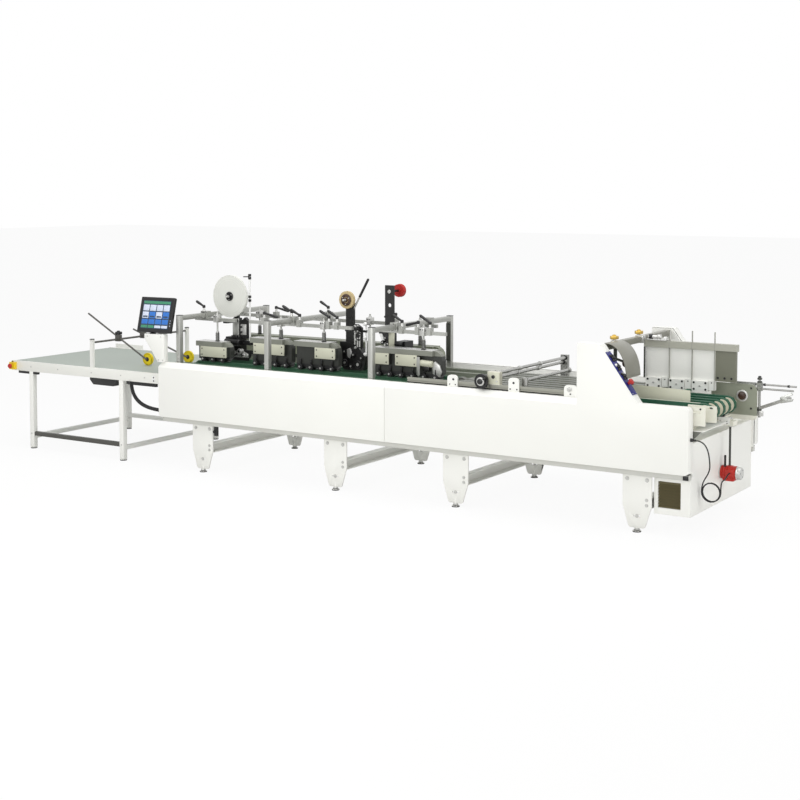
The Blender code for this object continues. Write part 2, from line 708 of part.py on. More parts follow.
def smooth_route(start, leaving, end, arriving, count):
    """Points from start to end on a smooth curve that leaves and arrives square to its ends.

    The vectors leaving and arriving point away from the two ends, into the route.
    """
    first = start + leaving.normalized() * TUBE_LEAD
    last = end + arriving.normalized() * TUBE_LEAD
    b, c = start + leaving, end + arriving
    points = [start]
    for k in range(count + 1):
        t = k / count
        s = 1 - t
        points.append(first * s ** 3 + b * (3 * s * s * t) + c * (3 * s * t * t) + last * t ** 3)
    points.append(end)
    return points


def tube(points, radius, resolution=2):
    curve = bpy.data.curves.new("tube", "CURVE")
    curve.dimensions = "3D"
    curve.bevel_depth = radius
    curve.bevel_resolution = resolution
    curve.use_fill_caps = True
    spline = curve.splines.new("POLY")
    spline.points.add(len(points) - 1)
    for point, place in zip(spline.points, points):
        point.co = (*place, 1.0)
    line = bpy.data.objects.new("tube", curve)
    parts.objects.link(line)
    bm = bmesh.new()
    bm.from_mesh(evaluated_mesh(line))
    bmesh.ops.remove_doubles(bm, verts=bm.verts, dist=0.00001)
    bpy.data.objects.remove(line)
    return add("tube", bm)


def wheel(name, centre, radius, width, bore, hub, finish):
    """A wheel with a rim, a thinner web and a hub with a bore, on an axis along Y."""
    hub_radius, hub_width = hub
    half, hub_half, web_half, rim = width / 2, hub_width / 2, width / 4, radius * 0.78
    profile = [(radius, half), (radius, -half), (rim, -half), (rim, -web_half), (hub_radius, -web_half),
               (hub_radius, -hub_half), (bore, -hub_half), (bore, hub_half), (hub_radius, hub_half),
               (hub_radius, web_half), (rim, web_half), (rim, half)]
    return part(name, turned(profile, centre, (0, 1, 0), 12), finish, smooth=True)


def press_holder():
    """A round bar across the table on two posts, with two sloping arms that hold press wheels."""
    x, z = PRESS_BAR_X, PRESS_BAR_Z
    post_y = TABLE_NEAR + TABLE_RAIL_THICKNESS / 2
    solids = []
    for y in (post_y, far(post_y)):
        solids.append(block(around(x, PRESS_POST[0] / 2), around(y, PRESS_POST[1] / 2),
                            (TABLE_TOP + SEAT, z + 0.03)))
    solids.append(rod((x, post_y, z), (x, far(post_y), z), PRESS_BAR_RADIUS, 8))
    length, width, height = PRESS_CLAMP
    arm_top = z + PRESS_BAR_RADIUS + PRESS_ARM_RADIUS
    for name, (y, back, ahead) in PRESS_ARMS.items():
        slope = (arm_top - PRESS_WHEEL_Z) / ahead
        end = (x + ahead, y, PRESS_WHEEL_Z)
        solids.append(rod((x - back, y, arm_top + slope * back), end, PRESS_ARM_RADIUS, 8))
        solids.append(block(around(x, length / 2), around(y, width / 2),
                            (arm_top - height * 0.6, arm_top + height * 0.4)))
        solids.append(rod((end[0], y - PRESS_ARM_RADIUS, end[2]), (end[0], y + PRESS_PIN, end[2]),
                          PRESS_PIN_RADIUS, 8))
        wheel(name, (end[0], y + PRESS_PIN - 0.018, end[2]), PRESS_WHEEL_RADIUS, PRESS_WHEEL_WIDTH,
              PRESS_PIN_RADIUS + PIN_GAP, (0.018, PRESS_WHEEL_WIDTH + 0.002), YELLOW)
    part("press_bar", fuse(solids[0], *solids[1:]), STEEL)


def operator_panel():
    right = COVER_LEFT + PEDESTAL_RIGHT
    left = COVER_LEFT - PEDESTAL_REACH
    bottom, top = COVER_TOP + SEAT, COVER_TOP + PEDESTAL_RISE
    outline = [(right - PEDESTAL_FOOT, bottom), (right, bottom), (right, top), (left, top),
               (left, top - PEDESTAL_CORNER)]
    part("panel_pedestal", plate(outline, "XZ", *PEDESTAL_Y), WHITE)
    x, z = COVER_LEFT - PANEL_SETBACK, COVER_TOP + PANEL_RISE
    turn = Matrix.Translation((x, PANEL_Y, z)) @ Matrix.Rotation(math.radians(PANEL_TURN), 4, "Z")
    turn = turn @ Matrix.Rotation(math.radians(-PANEL_TILT), 4, "X")
    bm = bmesh.new()
    bmesh.ops.create_cube(bm, size=1.0, matrix=Matrix.Diagonal((PANEL_WIDTH, PANEL_DEPTH, PANEL_HEIGHT, 1)))
    bmesh.ops.bevel(bm, geom=bm.edges[:], offset=PANEL_EDGE, segments=1, affect="EDGES")
    case = add("case", bm, turn)
    bm = bmesh.new()
    opening = (PANEL_WIDTH - 2 * SCREEN_MARGIN, 2 * SCREEN_RECESS, PANEL_HEIGHT - 2 * SCREEN_MARGIN, 1)
    bmesh.ops.create_cube(bm, size=1.0, matrix=Matrix.Diagonal(opening))
    screen = add("screen", bm, turn @ Matrix.Translation((0, -PANEL_DEPTH / 2, 0)))
    neck_x, neck_y = x - NECK_RADIUS, sum(PEDESTAL_Y) / 2
    neck = rod((neck_x, neck_y, top + SEAT), (neck_x, neck_y, z - PANEL_HEIGHT * 0.44), NECK_RADIUS)
    part("panel_case", cut(fuse(case, neck), screen), BLACK)


def gantries():
    half = GANTRY_TUBE / 2
    near_y = (BETWEEN_WALLS[0], BETWEEN_WALLS[0] + GANTRY_TUBE)
    bottom = PATH_HEIGHT - GANTRY_DROP
    for number, x in enumerate(GANTRY_POSITIONS, 1):
        near = block(around(x, half), near_y, (bottom, GANTRY_TOP))
        distant = block(around(x, half), (far(near_y[1]), far(near_y[0])), (bottom, GANTRY_TOP))
        beam = block(around(x, half - BITE / 2), (near_y[1] - BITE, far(near_y[1] - BITE)),
                     (GANTRY_TOP - GANTRY_TUBE, GANTRY_TOP - BITE / 2))
        part("gantry_%d" % number, fuse(near, distant, beam), ALUMINIUM)


def clamp(x, y):
    """An inverted U over a gantry's beam that carries a bar under it."""
    inner = GANTRY_TUBE / 2 + SEAT
    outer = inner + CLAMP_WALL
    low, high = BAR_TOP - BAR_HEIGHT / 2, GANTRY_TOP + SEAT
    top = high + CLAMP_WALL
    outline = [(x - outer, low), (x - inner, low), (x - inner, high), (x + inner, high),
               (x + inner, low), (x + outer, low), (x + outer, top), (x - outer, top)]
    return plate(outline, "XZ", y - CLAMP_HALF, y + CLAMP_HALF)


def lever(x, y, base, reach, rise):
    """A clamping lever: a stub with its handle."""
    top = base + LEVER_STUB
    stub = rod((x, y, base - BITE), (x, y, top), LEVER_RADIUS, 6)
    handle = rod((x, y, top - LEVER_RADIUS), (x + reach, y, top - LEVER_RADIUS + rise), LEVER_RADIUS * 0.9, 6)
    return [stub, handle]


def carrier_top(name):
    return PATH_HEIGHT + CARRIERS[name][2]


def hold_down(name):
    left, right, beams, rods, levers = HOLD_DOWNS[name]
    y = LANE_FAR if name.startswith("far") else LANE_NEAR
    station_top = BAR_TOP + STATION_RISE
    solids = [block((left, right), around(y, BAR_WIDTH / 2), (BAR_BOTTOM, BAR_TOP))]
    clamped = [GANTRY_POSITIONS[k] for k in beams]
    solids += [clamp(x, y) for x in clamped]
    for x, carried in rods:
        top = carrier_top(carried)
        solids.append(block(around(x, STATION_HALF), around(y, CLAMP_HALF),
                            (BAR_BOTTOM - 0.008, station_top)))
        solids.append(rod((x, y, top + SEAT), (x, y, station_top + 0.03), SPRING_ROD_RADIUS, 6))
        solids.append(rod((x, y, top + 0.01), (x, y, top + 0.01 + SPRING_LENGTH), SPRING_RADIUS, 6))
    for x, reach, rise in levers:
        base = station_top
        if min(abs(x - beam) for beam in clamped) < GANTRY_TUBE:
            base = GANTRY_TOP + SEAT + CLAMP_WALL
        else:
            solids.append(block(around(x, STATION_HALF * 0.9), around(y, CLAMP_HALF * 0.9),
                                (BAR_BOTTOM - 0.004, station_top)))
        solids += lever(x, y, base, reach, rise)
    part(name, fuse(solids[0], *solids[1:]), ALUMINIUM)


def carrier(name):
    """A belt carrier: cap, frame with a round nose, sheet boxes and a row of press rollers."""
    left, right, _ = CARRIERS[name]
    distant = name.startswith("far")
    y = LANE_FAR if distant else LANE_NEAR
    pitch = FAR_ROLLER_PITCH if distant else NEAR_ROLLER_PITCH
    top = carrier_top(name)
    half, frame_half = CARRIER_WIDTH / 2, CARRIER_FRAME / 2
    axle = PATH_HEIGHT + SEAT + PRESS_ROLLER_RADIUS
    shoulder = top - CARRIER_CAP
    solids = [block((left, right - CARRIER_NOSE), around(y, half), (shoulder, top))]
    low = axle - 0.003
    outline = [(left + PAST, low), (right, low), (right, top - BITE), (left + PAST, top - BITE)]
    outline = rounded(outline, [0, CARRIER_NOSE * 0.6, CARRIER_NOSE, 0], 4)
    solids.append(plate(outline, "XZ", y - frame_half, y + frame_half))
    for box_left, box_right in CARRIER_BOXES[name]:
        solids.append(block((box_left, box_right), (y - half - CARRIER_BOX_PROUD, y),
                            (shoulder + BITE - CARRIER_BOX_HEIGHT, shoulder + BITE)))
    count = int((right - left - 2 * PRESS_ROLLER_RADIUS) / pitch) + 1
    first = (left + right - (count - 1) * pitch) / 2
    reach = half - PAST
    for k in range(count):
        x = first + k * pitch
        solids.append(rod((x, y - reach, axle), (x, y + reach, axle), PRESS_ROLLER_RADIUS, 8))
    part(name, fuse(solids[0], *solids[1:]), CREAM)


def lower_belts():
    """Five belt lanes on two cross shafts that run between the side walls."""
    left, right = COVER_LEFT + LANE_LEFT, LANE_RIGHT
    bottom = PATH_HEIGHT - LANE_DROP
    radius = LANE_DROP / 2
    shaft_z = PATH_HEIGHT - radius
    shafts = [rod((x, BETWEEN_WALLS[0], shaft_z), (x, BETWEEN_WALLS[1], shaft_z), LANE_SHAFT_RADIUS, 6)
              for x in (left + radius, right - radius)]
    lanes = [plate(stadium(left, right, bottom, PATH_HEIGHT, 3), "XZ", *around(y, LANE_WIDTH / 2))
             for y in (OUTER_LANE_INSET, LANE_NEAR, MIDDLE, LANE_FAR, far(OUTER_LANE_INSET))]
    part("lower_belts", fuse(lanes[0], *lanes[1:], *shafts), GREEN)


def flat(outline, y=None, sheet=HEAD_PLATE):
    """A piece of a tape head cut from sheet, in the plane of its main plate."""
    return plate(outline, "XZ", *around(TAPE_Y if y is None else y, sheet / 2))


def frame_of(x, height):
    """Places points given from a head's foot on the sheet path."""
    return lambda points: [(x + u, PATH_HEIGHT + height + v) for u, v in points]


def head_rollers(places):
    """Guide rollers that stand out of a head's plate towards the operator."""
    return [rod((x, TAPE_Y - HEAD_ROLLER_REACH, z), (x, TAPE_Y, z), HEAD_ROLLER_RADIUS, 8) for x, z in places]


def head_hanger(x):
    """The block that joins a head to the near bar."""
    y = (LANE_NEAR + BAR_WIDTH / 2 + SEAT, TAPE_Y)
    return block(around(x, 0.025), y, (BAR_BOTTOM - 0.018, BAR_BOTTOM + 0.010))


def tape_reel(name, centre, radius, width, hub, steps):
    """A reel of tape on its core, on an axis along Y."""
    half, bore = width / 2, SPINDLE_RADIUS + PIN_GAP
    lip = half + REEL_LIP
    profile = [(radius, half), (radius, -half), (hub, -half), (hub, -lip), (bore, -lip), (bore, lip),
               (hub, lip), (hub, half)]
    part(name, turned(profile, centre, (0, 1, 0), steps), PAPER, smooth=True)


def spindle(x, z, low, high):
    return rod((x, low, z), (x, high, z), SPINDLE_RADIUS, 8)


def tape_head_1():
    """The large reel's head: shoe, applicator body and upright, reel arm and a guide tower."""
    x = -2.09
    at = frame_of(x, 0)
    body = block((x - 0.13, x + 0.05), around(TAPE_Y, HEAD_HALF), (PATH_HEIGHT + 0.095, PATH_HEIGHT + 0.22))
    shoe = flat(at([(-0.15, SEAT), (0.10, SEAT), (0.13, 0.04), (0.13, 0.10), (-0.11, 0.10), (-0.15, 0.05)]))
    upright = flat(at([(-0.055, 0.21), (0.015, 0.21), (0.015, 0.40), (-0.055, 0.40)]), sheet=0.05)
    cutter = flat(at([(0.035, 0.21), (0.11, 0.21), (0.11, 0.38), (0.08, 0.41), (0.035, 0.37)]), sheet=0.04)
    arm = flat(link((x - 0.02, PATH_HEIGHT + 0.36), (REEL_1[0], REEL_1[2]), 0.028))
    rollers = head_rollers(at([(-0.12, 0.05), (-0.03, 0.06), (0.07, 0.05)]))
    tower = rod((x + TOWER_X, TAPE_Y, PATH_HEIGHT + 0.15), (x + TOWER_X, TAPE_Y, PATH_HEIGHT + TOWER_RISE),
                TOWER_RADIUS, 8)
    foot = block((x + 0.04, x + TOWER_X + 0.02), around(TAPE_Y, 0.02),
                 (PATH_HEIGHT + 0.15, PATH_HEIGHT + 0.19))
    pin = spindle(REEL_1[0], REEL_1[2], REEL_1[1] - 0.027, TAPE_Y)
    pieces = [shoe, upright, cutter, arm, *rollers, tower, foot, pin, head_hanger(x - 0.02)]
    part("tape_head_1", fuse(body, *pieces), BLACK)
    tape_reel("tape_reel_1", REEL_1, 0.200, 0.028, 0.042, 24)


def tape_head_2():
    """The middle head: a tall arm for its reel, a stepped body and a handle that leans back."""
    x = -0.76
    at = frame_of(x, 0)
    arm = flat(at([(-0.100, 0.10), (-0.014, 0.10), (-0.014, 0.60), (-0.045, 0.66), (-0.085, 0.66),
                   (-0.100, 0.62)]))
    body = flat(at([(-0.145, 0.05), (-0.10, SEAT), (0.09, SEAT), (0.12, 0.05), (0.12, 0.13), (0.06, 0.20),
                    (-0.02, 0.25), (-0.145, 0.25)]), sheet=0.08)
    back = flat(at([(-0.02, 0.20), (0.07, 0.20), (0.07, 0.38), (0.02, 0.41), (-0.02, 0.41)]), sheet=0.03)
    rollers = head_rollers(at([(-0.09, 0.19), (0.05, 0.31), (0.02, 0.38)]))
    handle = rod((x - 0.03, TAPE_Y, PATH_HEIGHT + 0.53), (x + 0.137, TAPE_Y, PATH_HEIGHT + 0.82), 0.0075, 8)
    side = rod((x + 0.112, TAPE_Y, PATH_HEIGHT + 0.12), (x + 0.112, TAPE_Y, PATH_HEIGHT + 0.40), 0.007, 8)
    brace = block((x + 0.06, x + 0.12), around(TAPE_Y, 0.010), (PATH_HEIGHT + 0.34, PATH_HEIGHT + 0.36))
    pin = spindle(REEL_2[0], REEL_2[2], REEL_2[1] - 0.030, TAPE_Y)
    pieces = [body, back, *rollers, handle, side, brace, pin, head_hanger(x + 0.035)]
    part("tape_head_2", fuse(arm, *pieces), BLACK)
    tape_reel("tape_reel_2", REEL_2, 0.079, 0.030, 0.052, 16)


def tape_head_3():
    """The right head: a tall plate with a hole, its reel behind it, and a motor under the bar."""
    x = -0.365
    at = frame_of(x, 0)
    y = TAPE_Y - 0.05
    arm = flat(at([(-0.047, 0.30), (0.047, 0.30), (0.047, 0.775), (-0.047, 0.775)]), y, 0.012)
    hole = rod((x, y - PAST, PATH_HEIGHT + 0.60), (x, y + PAST, PATH_HEIGHT + 0.60), HOLE_RADIUS, 10)
    wedge = flat(at([(-0.14, 0.375), (-0.06, 0.23), (0.02, 0.23), (0.02, 0.375)]), sheet=0.06)
    motor = flat(at([(0.0, 0.23), (0.17, 0.23), (0.17, 0.29), (0.08, 0.29), (0.08, 0.25), (0.0, 0.25)]),
                 sheet=0.13)
    body = block((x - 0.05, x + 0.11), around(TAPE_Y, HEAD_HALF), (PATH_HEIGHT + 0.06, PATH_HEIGHT + 0.26))
    shoe = flat(at([(-0.10, SEAT), (0.08, SEAT), (0.12, 0.05), (0.12, 0.08), (-0.10, 0.08)]))
    pin = spindle(REEL_3[0], REEL_3[2], y, REEL_3[1] + 0.030)
    rollers = head_rollers(at([(-0.07, 0.05), (0.08, 0.05)]))
    pieces = [cut(arm, hole), wedge, motor, shoe, pin, *rollers, head_hanger(x)]
    part("tape_head_3", fuse(body, *pieces), BLACK)
    tape_reel("tape_reel_3", REEL_3, 0.058, 0.034, 0.024, 12)


def small_plate(x, width, height):
    """A bearing plate with a round top that stands up in front of the rail."""
    outline = [(x - width / 2, COVER_TOP + SEAT), (x + width / 2, COVER_TOP + SEAT),
               (x + width / 2, COVER_TOP + height), (x - width / 2, COVER_TOP + height)]
    radius = min(SMALL_PLATE_RADIUS, width / 3)
    outline = rounded(outline, [0, 0, radius, radius], 3)
    return plate(outline, "XZ", WALL_OUTER - SMALL_PLATE_SHEET + 0.006, WALL_OUTER + 0.006)


def middle_rail():
    """The grooved rail on the near wall, with its plates, handwheel bearing and counter."""
    bottom = COVER_TOP - WALL_INSET + SEAT
    top = bottom + GUIDE_RAIL_HEIGHT
    front, back = WALL_OUTER + 0.001, WALL_INNER - 0.001
    groove = bottom + GUIDE_RAIL_HEIGHT * 0.45
    groove_top, groove_back = groove + GUIDE_RAIL_GROOVE, front + GUIDE_RAIL_GROOVE
    outline = [(front, bottom), (back, bottom), (back, top), (front, top), (front, groove_top),
               (groove_back, groove_top), (groove_back, groove), (front, groove)]
    rail = plate(outline, "YZ", GUIDE_RAIL_LEFT, HUMP_LEFT - GUIDE_RAIL_GAP)
    plates = [small_plate(*row) for row in SMALL_PLATES]
    bearing = block(around(HANDWHEEL_X, 0.035), (WALL_OUTER - 0.010, WALL_INNER + COUNTER_REACH),
                    (top - 0.020, HANDWHEEL_Z + 0.045))
    pin = rod((HANDWHEEL_X, HANDWHEEL_Y - 0.027, HANDWHEEL_Z), (HANDWHEEL_X, WALL_OUTER, HANDWHEEL_Z),
              HANDWHEEL_PIN, 8)
    counter = block((HANDWHEEL_X + 0.030, HANDWHEEL_X + 0.140),
                    (WALL_OUTER - 0.005, WALL_INNER + COUNTER_REACH),
                    (top - BITE, top + 0.10))
    part("near_guide_rail", fuse(rail, *plates, bearing, pin, counter), ALUMINIUM)
    wheel("handwheel", (HANDWHEEL_X, HANDWHEEL_Y, HANDWHEEL_Z), HANDWHEEL_RADIUS, 0.018,
          HANDWHEEL_PIN + PIN_GAP, (0.020, 0.034), BLACK)


def shaft_block(shafts, y):
    """An upright block that holds shaft ends, from below the sheet path to just over the shafts."""
    reach = GUIDE_SHAFT_RADIUS + SHAFT_BLOCK_MARGIN
    x = (min(x for x, _ in shafts) - reach, max(x for x, _ in shafts) + reach)
    top = PATH_HEIGHT + max(rise for _, rise in shafts) + reach
    return block(x, y, (PATH_HEIGHT - 0.055, top))


def guide_shafts():
    """Two round shafts from wall to wall and a shorter one beside them, held in blocks."""
    near_y = (WALL_INNER + COUNTER_REACH + SEAT, WALL_INNER + COUNTER_REACH + SEAT + SHAFT_BLOCK)
    far_y = (far(near_y[1]), BETWEEN_WALLS[1])
    ends = [shaft_block(LONG_SHAFTS, near_y), shaft_block(LONG_SHAFTS, far_y),
            shaft_block([SHORT_SHAFT], near_y)]
    foot = block((LONG_SHAFTS[1][0] - 0.03, SHORT_SHAFT[0] + 0.03), (BETWEEN_WALLS[0], near_y[1] - BITE / 2),
                 (PATH_HEIGHT - 0.050, PATH_HEIGHT + 0.045))
    start = near_y[0] + 0.003
    shafts = []
    for x, rise in LONG_SHAFTS:
        z = PATH_HEIGHT + rise
        shafts.append(rod((x, start, z), (x, far_y[0] + 0.005, z), GUIDE_SHAFT_RADIUS, 8))
    x, z = SHORT_SHAFT[0], PATH_HEIGHT + SHORT_SHAFT[1]
    shafts.append(rod((x, start, z), (x, SHORT_SHAFT_END, z), GUIDE_SHAFT_RADIUS, 8))
    radius, length = SHAFT_COLLAR
    collar = rod((x, SHORT_SHAFT_END - BITE, z), (x, SHORT_SHAFT_END - BITE + length, z), radius, 10)
    part("guide_shafts", fuse(foot, *ends, *shafts, collar), STEEL)


def middle_bed():
    """A slatted bed on two cross bars."""
    right = HUMP_LEFT + BED_PAST_HUMP
    count = int((MACHINE_WIDTH - 2 * SLAT_INSET - SLAT_WIDTH) / SLAT_PITCH) + 1
    first = MIDDLE - (count - 1) * SLAT_PITCH / 2
    slats = [block((BED_LEFT, right), around(first + k * SLAT_PITCH, SLAT_WIDTH / 2),
                   (PATH_HEIGHT - SLAT_HEIGHT, PATH_HEIGHT)) for k in range(count)]
    z = (PATH_HEIGHT - 0.080, PATH_HEIGHT - SLAT_HEIGHT + 0.005)
    bars = [block(around(x, 0.020), BETWEEN_WALLS, z) for x in (BED_LEFT + 0.12, right - 0.18)]
    part("middle_bed", fuse(bars[0], bars[1], *slats), GREY)


def front_gate():
    """The feeder's cross beam with two curved sheets that the blanks slide down."""
    z = (FEEDER_BEAM_Z, FEEDER_BEAM_Z + FEEDER_BEAM)
    beam = block(around(FEEDER_BEAM_X, FEEDER_BEAM / 2), BETWEEN_WALLS, z)
    centre = (FEEDER_BEAM_X + FRONT_GUIDE_CENTRE[0], FEEDER_BEAM_Z + FRONT_GUIDE_CENTRE[1])
    low, high = FRONT_GUIDE_ARC
    guides = []
    for shift in FRONT_GUIDE_SHIFTS:
        y = MIDDLE + shift
        outline = []
        inner = FRONT_GUIDE_RADIUS - FRONT_GUIDE_SHEET
        for radius, order in ((FRONT_GUIDE_RADIUS, range(9)), (inner, reversed(range(9)))):
            for k in order:
                angle = math.radians(low + (high - low) * k / 8)
                outline.append((centre[0] + radius * math.cos(angle), centre[1] + radius * math.sin(angle)))
        guides.append(plate(outline, "XZ", *around(y, FRONT_GUIDE_HALF)))
        x = FEEDER_BEAM_X - 0.015
        guides.append(rod((x, y, z[1] - BITE), (x, y, z[1] + 0.035), 0.012, 8))
    part("feeder_front_gate", fuse(beam, *guides), GREY)


def side_guide():
    """The feeder's side guide: beam, sheet, three ribs, end plate and the blocks below it."""
    y = SIDE_GUIDE_Y
    left = FEEDER_BEAM_X + FEEDER_BEAM / 2 + SEAT
    beam_z = (PATH_HEIGHT + 0.355, PATH_HEIGHT + 0.410)
    sheet_right = HUMP_LEFT + 0.77
    end_right = COVER_RIGHT + 0.04
    plate_low = PATH_HEIGHT + 0.115
    solids = [block((left, end_right + 0.01), around(y, 0.025), beam_z),
              block((left + 0.01, sheet_right), around(y, 0.006), (PATH_HEIGHT + 0.09, beam_z[0] + BITE)),
              block((sheet_right - BITE, end_right), around(y, 0.016), (plate_low, beam_z[0] + BITE))]
    for rib_x in (HUMP_LEFT + 0.39, HUMP_LEFT + 0.58, sheet_right - 0.004):
        solids.append(block(around(rib_x, 0.0025), (y - 0.020, y), (plate_low, PATH_HEIGHT + 0.500)))
    for block_x in (HUMP_LEFT + 0.26, HUMP_LEFT + 0.455, HUMP_LEFT + 0.65):
        solids.append(block(around(block_x, 0.066), around(y, 0.028),
                            (PATH_HEIGHT + 0.030, PATH_HEIGHT + 0.110)))
        solids.append(block((block_x + 0.07, block_x + 0.12), (y - 0.020, y + 0.018),
                            (PATH_HEIGHT + 0.040, PATH_HEIGHT + 0.118)))
        solids.append(block((block_x + 0.05, block_x + 0.09), (y - 0.010, y + 0.010),
                            (PATH_HEIGHT + 0.060, PATH_HEIGHT + 0.085)))
    part("feeder_side_guide", fuse(solids[0], *solids[1:]), WHITE)


def feed_belts():
    """Belt lanes side by side round a driven and an idle shaft."""
    top = FEED_BELT_TOP
    bottom = top - 2 * FEED_PULLEY_RADIUS
    shaft_z = (bottom + top) / 2
    left, right = HUMP_LEFT + 0.28, COVER_RIGHT + 0.06
    lane_y = [MIDDLE + FEED_LANE_SHIFT + k * FEED_LANE_PITCH for k in range(FEED_LANE_COUNT)]
    outline = stadium(left, right, bottom, top, 5)
    lanes = [plate(outline, "XZ", *around(y, FEED_BELT_WIDTH / 2)) for y in lane_y]
    x = left + FEED_PULLEY_RADIUS
    drive = rod((x, BETWEEN_WALLS[0], shaft_z), (x, BETWEEN_WALLS[1], shaft_z), 0.020, 6)
    x = right - FEED_PULLEY_RADIUS
    idler = rod((x, MIDDLE - 0.475 + SEAT, shaft_z), (x, FAR_PLATE_Y - SEAT, shaft_z), 0.018, 6)
    part("feed_belts", fuse(lanes[0], *lanes[1:], drive, idler), GREEN)


def slotted_plate(x, z, slot_x, slot_z, y):
    """An upright plate with a rounded slot, for the idle shaft's bearing."""
    sheet = plate([(x[0], z[0]), (x[1], z[0]), (x[1], z[1]), (x[0], z[1])], "XZ", *y)
    slot = stadium(slot_x[0], slot_x[1], slot_z - 0.007, slot_z + 0.007, 2)
    return cut(sheet, plate(slot, "XZ", y[0] - PAST, y[1] + PAST))


def rear_frame():
    """The feeder's end: bar, near bearing plates, far plate, and the vibrator's bracket and hanger."""
    right = COVER_RIGHT - 0.04
    bar_z = (REAR_BAR_TOP - REAR_BAR[1], REAR_BAR_TOP)
    bar = block((right - REAR_BAR[0], right), BETWEEN_WALLS, bar_z)
    near_y = BETWEEN_WALLS[0]
    inner_y = MIDDLE - 0.475
    first = slotted_plate((right - 0.05, right + 0.125), (PATH_HEIGHT - 0.115, PATH_HEIGHT + 0.02),
                          (right + 0.005, right + 0.09), PATH_HEIGHT - 0.015, (near_y, near_y + 0.015))
    second = slotted_plate((right - 0.05, right + 0.17), (PATH_HEIGHT - 0.10, PATH_HEIGHT + 0.02),
                           (right + 0.105, right + 0.145), PATH_HEIGHT + 0.005,
                           (inner_y - 0.085, inner_y - 0.070))
    body = block((right - 0.04, right + 0.09), (near_y + 0.013, inner_y),
                 (PATH_HEIGHT - 0.095, PATH_HEIGHT - 0.03))
    foot = block((right - 0.045, right - 0.005), (near_y + BITE, inner_y - 0.005),
                 (REAR_BAR_TOP - PAST, PATH_HEIGHT - 0.09))
    plate_x = (right - 0.16, COVER_RIGHT + 0.17)
    plate_z = (REAR_BAR_TOP - 0.03, PATH_HEIGHT + 0.095)
    outline = [(plate_x[0], plate_z[0]), (plate_x[1], plate_z[0]), (plate_x[1], plate_z[1]), (plate_x[0], plate_z[1])]
    far_plate = plate(rounded(outline, [0, 0.03, 0.05, 0], 3), "XZ", FAR_PLATE_Y, FAR_PLATE_Y + FAR_PLATE_SHEET)
    bracket = block((right - 0.01, VIBRATOR_X + 0.04), around(VIBRATOR_Y, 0.045),
                    (REAR_BAR_TOP - 0.04, REAR_BAR_TOP - 0.005))
    hanger = rod((VIBRATOR_X, VIBRATOR_Y, VIBRATOR_HEIGHT + 0.05),
                 (VIBRATOR_X, VIBRATOR_Y, REAR_BAR_TOP + 0.01), 0.009, 8)
    part("feeder_rear_frame", fuse(bar, first, second, body, foot, far_plate, bracket, hanger), CREAM)


def rear_support():
    """Stays behind the feeder, on the far plate, that hold the end of the pile."""
    y = FAR_PLATE_Y + FAR_PLATE_SHEET + SEAT
    x = COVER_RIGHT + 0.05
    post_x = COVER_RIGHT + 0.18
    z = PATH_HEIGHT + 0.095
    upper, lower = 0.030, 0.020
    solids = [block((x - 0.10, x + 0.10), (y, y + 0.022), (z - 0.045, z + 0.015)),
              rod((x, y + upper, z), (REAR_REACH, y + upper, z), SUPPORT_ROD_RADIUS, 8),
              rod((x, y + lower, z - 0.033), (REAR_REACH - 0.02, y + lower, z - 0.033),
                  SUPPORT_ROD_RADIUS, 8),
              rod((post_x, y + 0.024, z - 0.26), (post_x, y + 0.024, z + 0.055), 0.010, 8),
              block(around(post_x, 0.020), (y + 0.006, y + 0.042), (z - 0.050, z + 0.015)),
              plate(link((post_x - 0.10, z - 0.228), (post_x + 0.24, z - 0.090), 0.013, 3), "XZ",
                    y + 0.016, y + 0.032)]
    part("rear_support", fuse(solids[0], *solids[1:]), STEEL)


def cabinet():
    """The closed cabinet between the walls, with a louvred grille in its near side."""
    right = COVER_RIGHT - CABINET_SETBACK
    left = right - CABINET_LENGTH
    box = block((left, right), BETWEEN_WALLS, CABINET_HEIGHTS)
    grille_x = (left + GRILLE_CORNER[0], left + GRILLE_CORNER[0] + GRILLE_SIZE[0])
    grille_z = (CABINET_HEIGHTS[0] + GRILLE_CORNER[1], CABINET_HEIGHTS[0] + GRILLE_CORNER[1] + GRILLE_SIZE[1])
    face = BETWEEN_WALLS[0]
    cut(box, block(grille_x, (face - PAST, face + GRILLE_DEPTH), grille_z))
    pitch = GRILLE_SIZE[1] / LOUVRES
    slats = []
    for k in range(LOUVRES):
        z = grille_z[0] + (k + 0.15) * pitch
        front, back = face + 0.002, face + GRILLE_DEPTH + 0.001
        top = z + pitch * 0.8
        outline = [(front, z), (front + LOUVRE_SHEET, z), (back + LOUVRE_SHEET, top), (back, top)]
        slats.append(plate(outline, "YZ", grille_x[0] - 0.002, grille_x[1] + 0.002))
    part("control_cabinet", fuse(box, *slats), WHITE)


def console():
    """The sloping control panel on the hump's end face, with its stop button."""
    foot = Vector((HUMP_FOOT, 0, COVER_TOP))
    head = Vector((HUMP_LEFT + HUMP_FLAT, 0, HUMP_TOP))
    along = (head - foot).normalized()
    normal = Vector((along.z, 0, -along.x))
    margin = 0.08
    outline = []
    for place, out in ((margin, SEAT), ((head - foot).length - margin, SEAT),
                       ((head - foot).length - margin, SEAT + 0.006), (margin, SEAT + 0.006)):
        point = foot + along * place + normal * out
        outline.append((point.x, point.z))
    panel = plate(outline, "XZ", *CONSOLE_Y)
    place = foot + along * 0.17 + normal * (SEAT + 0.006)
    button = mushroom((place.x, sum(CONSOLE_Y) / 2, place.z), normal, 0.003)
    part("console_panel", fuse(panel, button), BLUE)


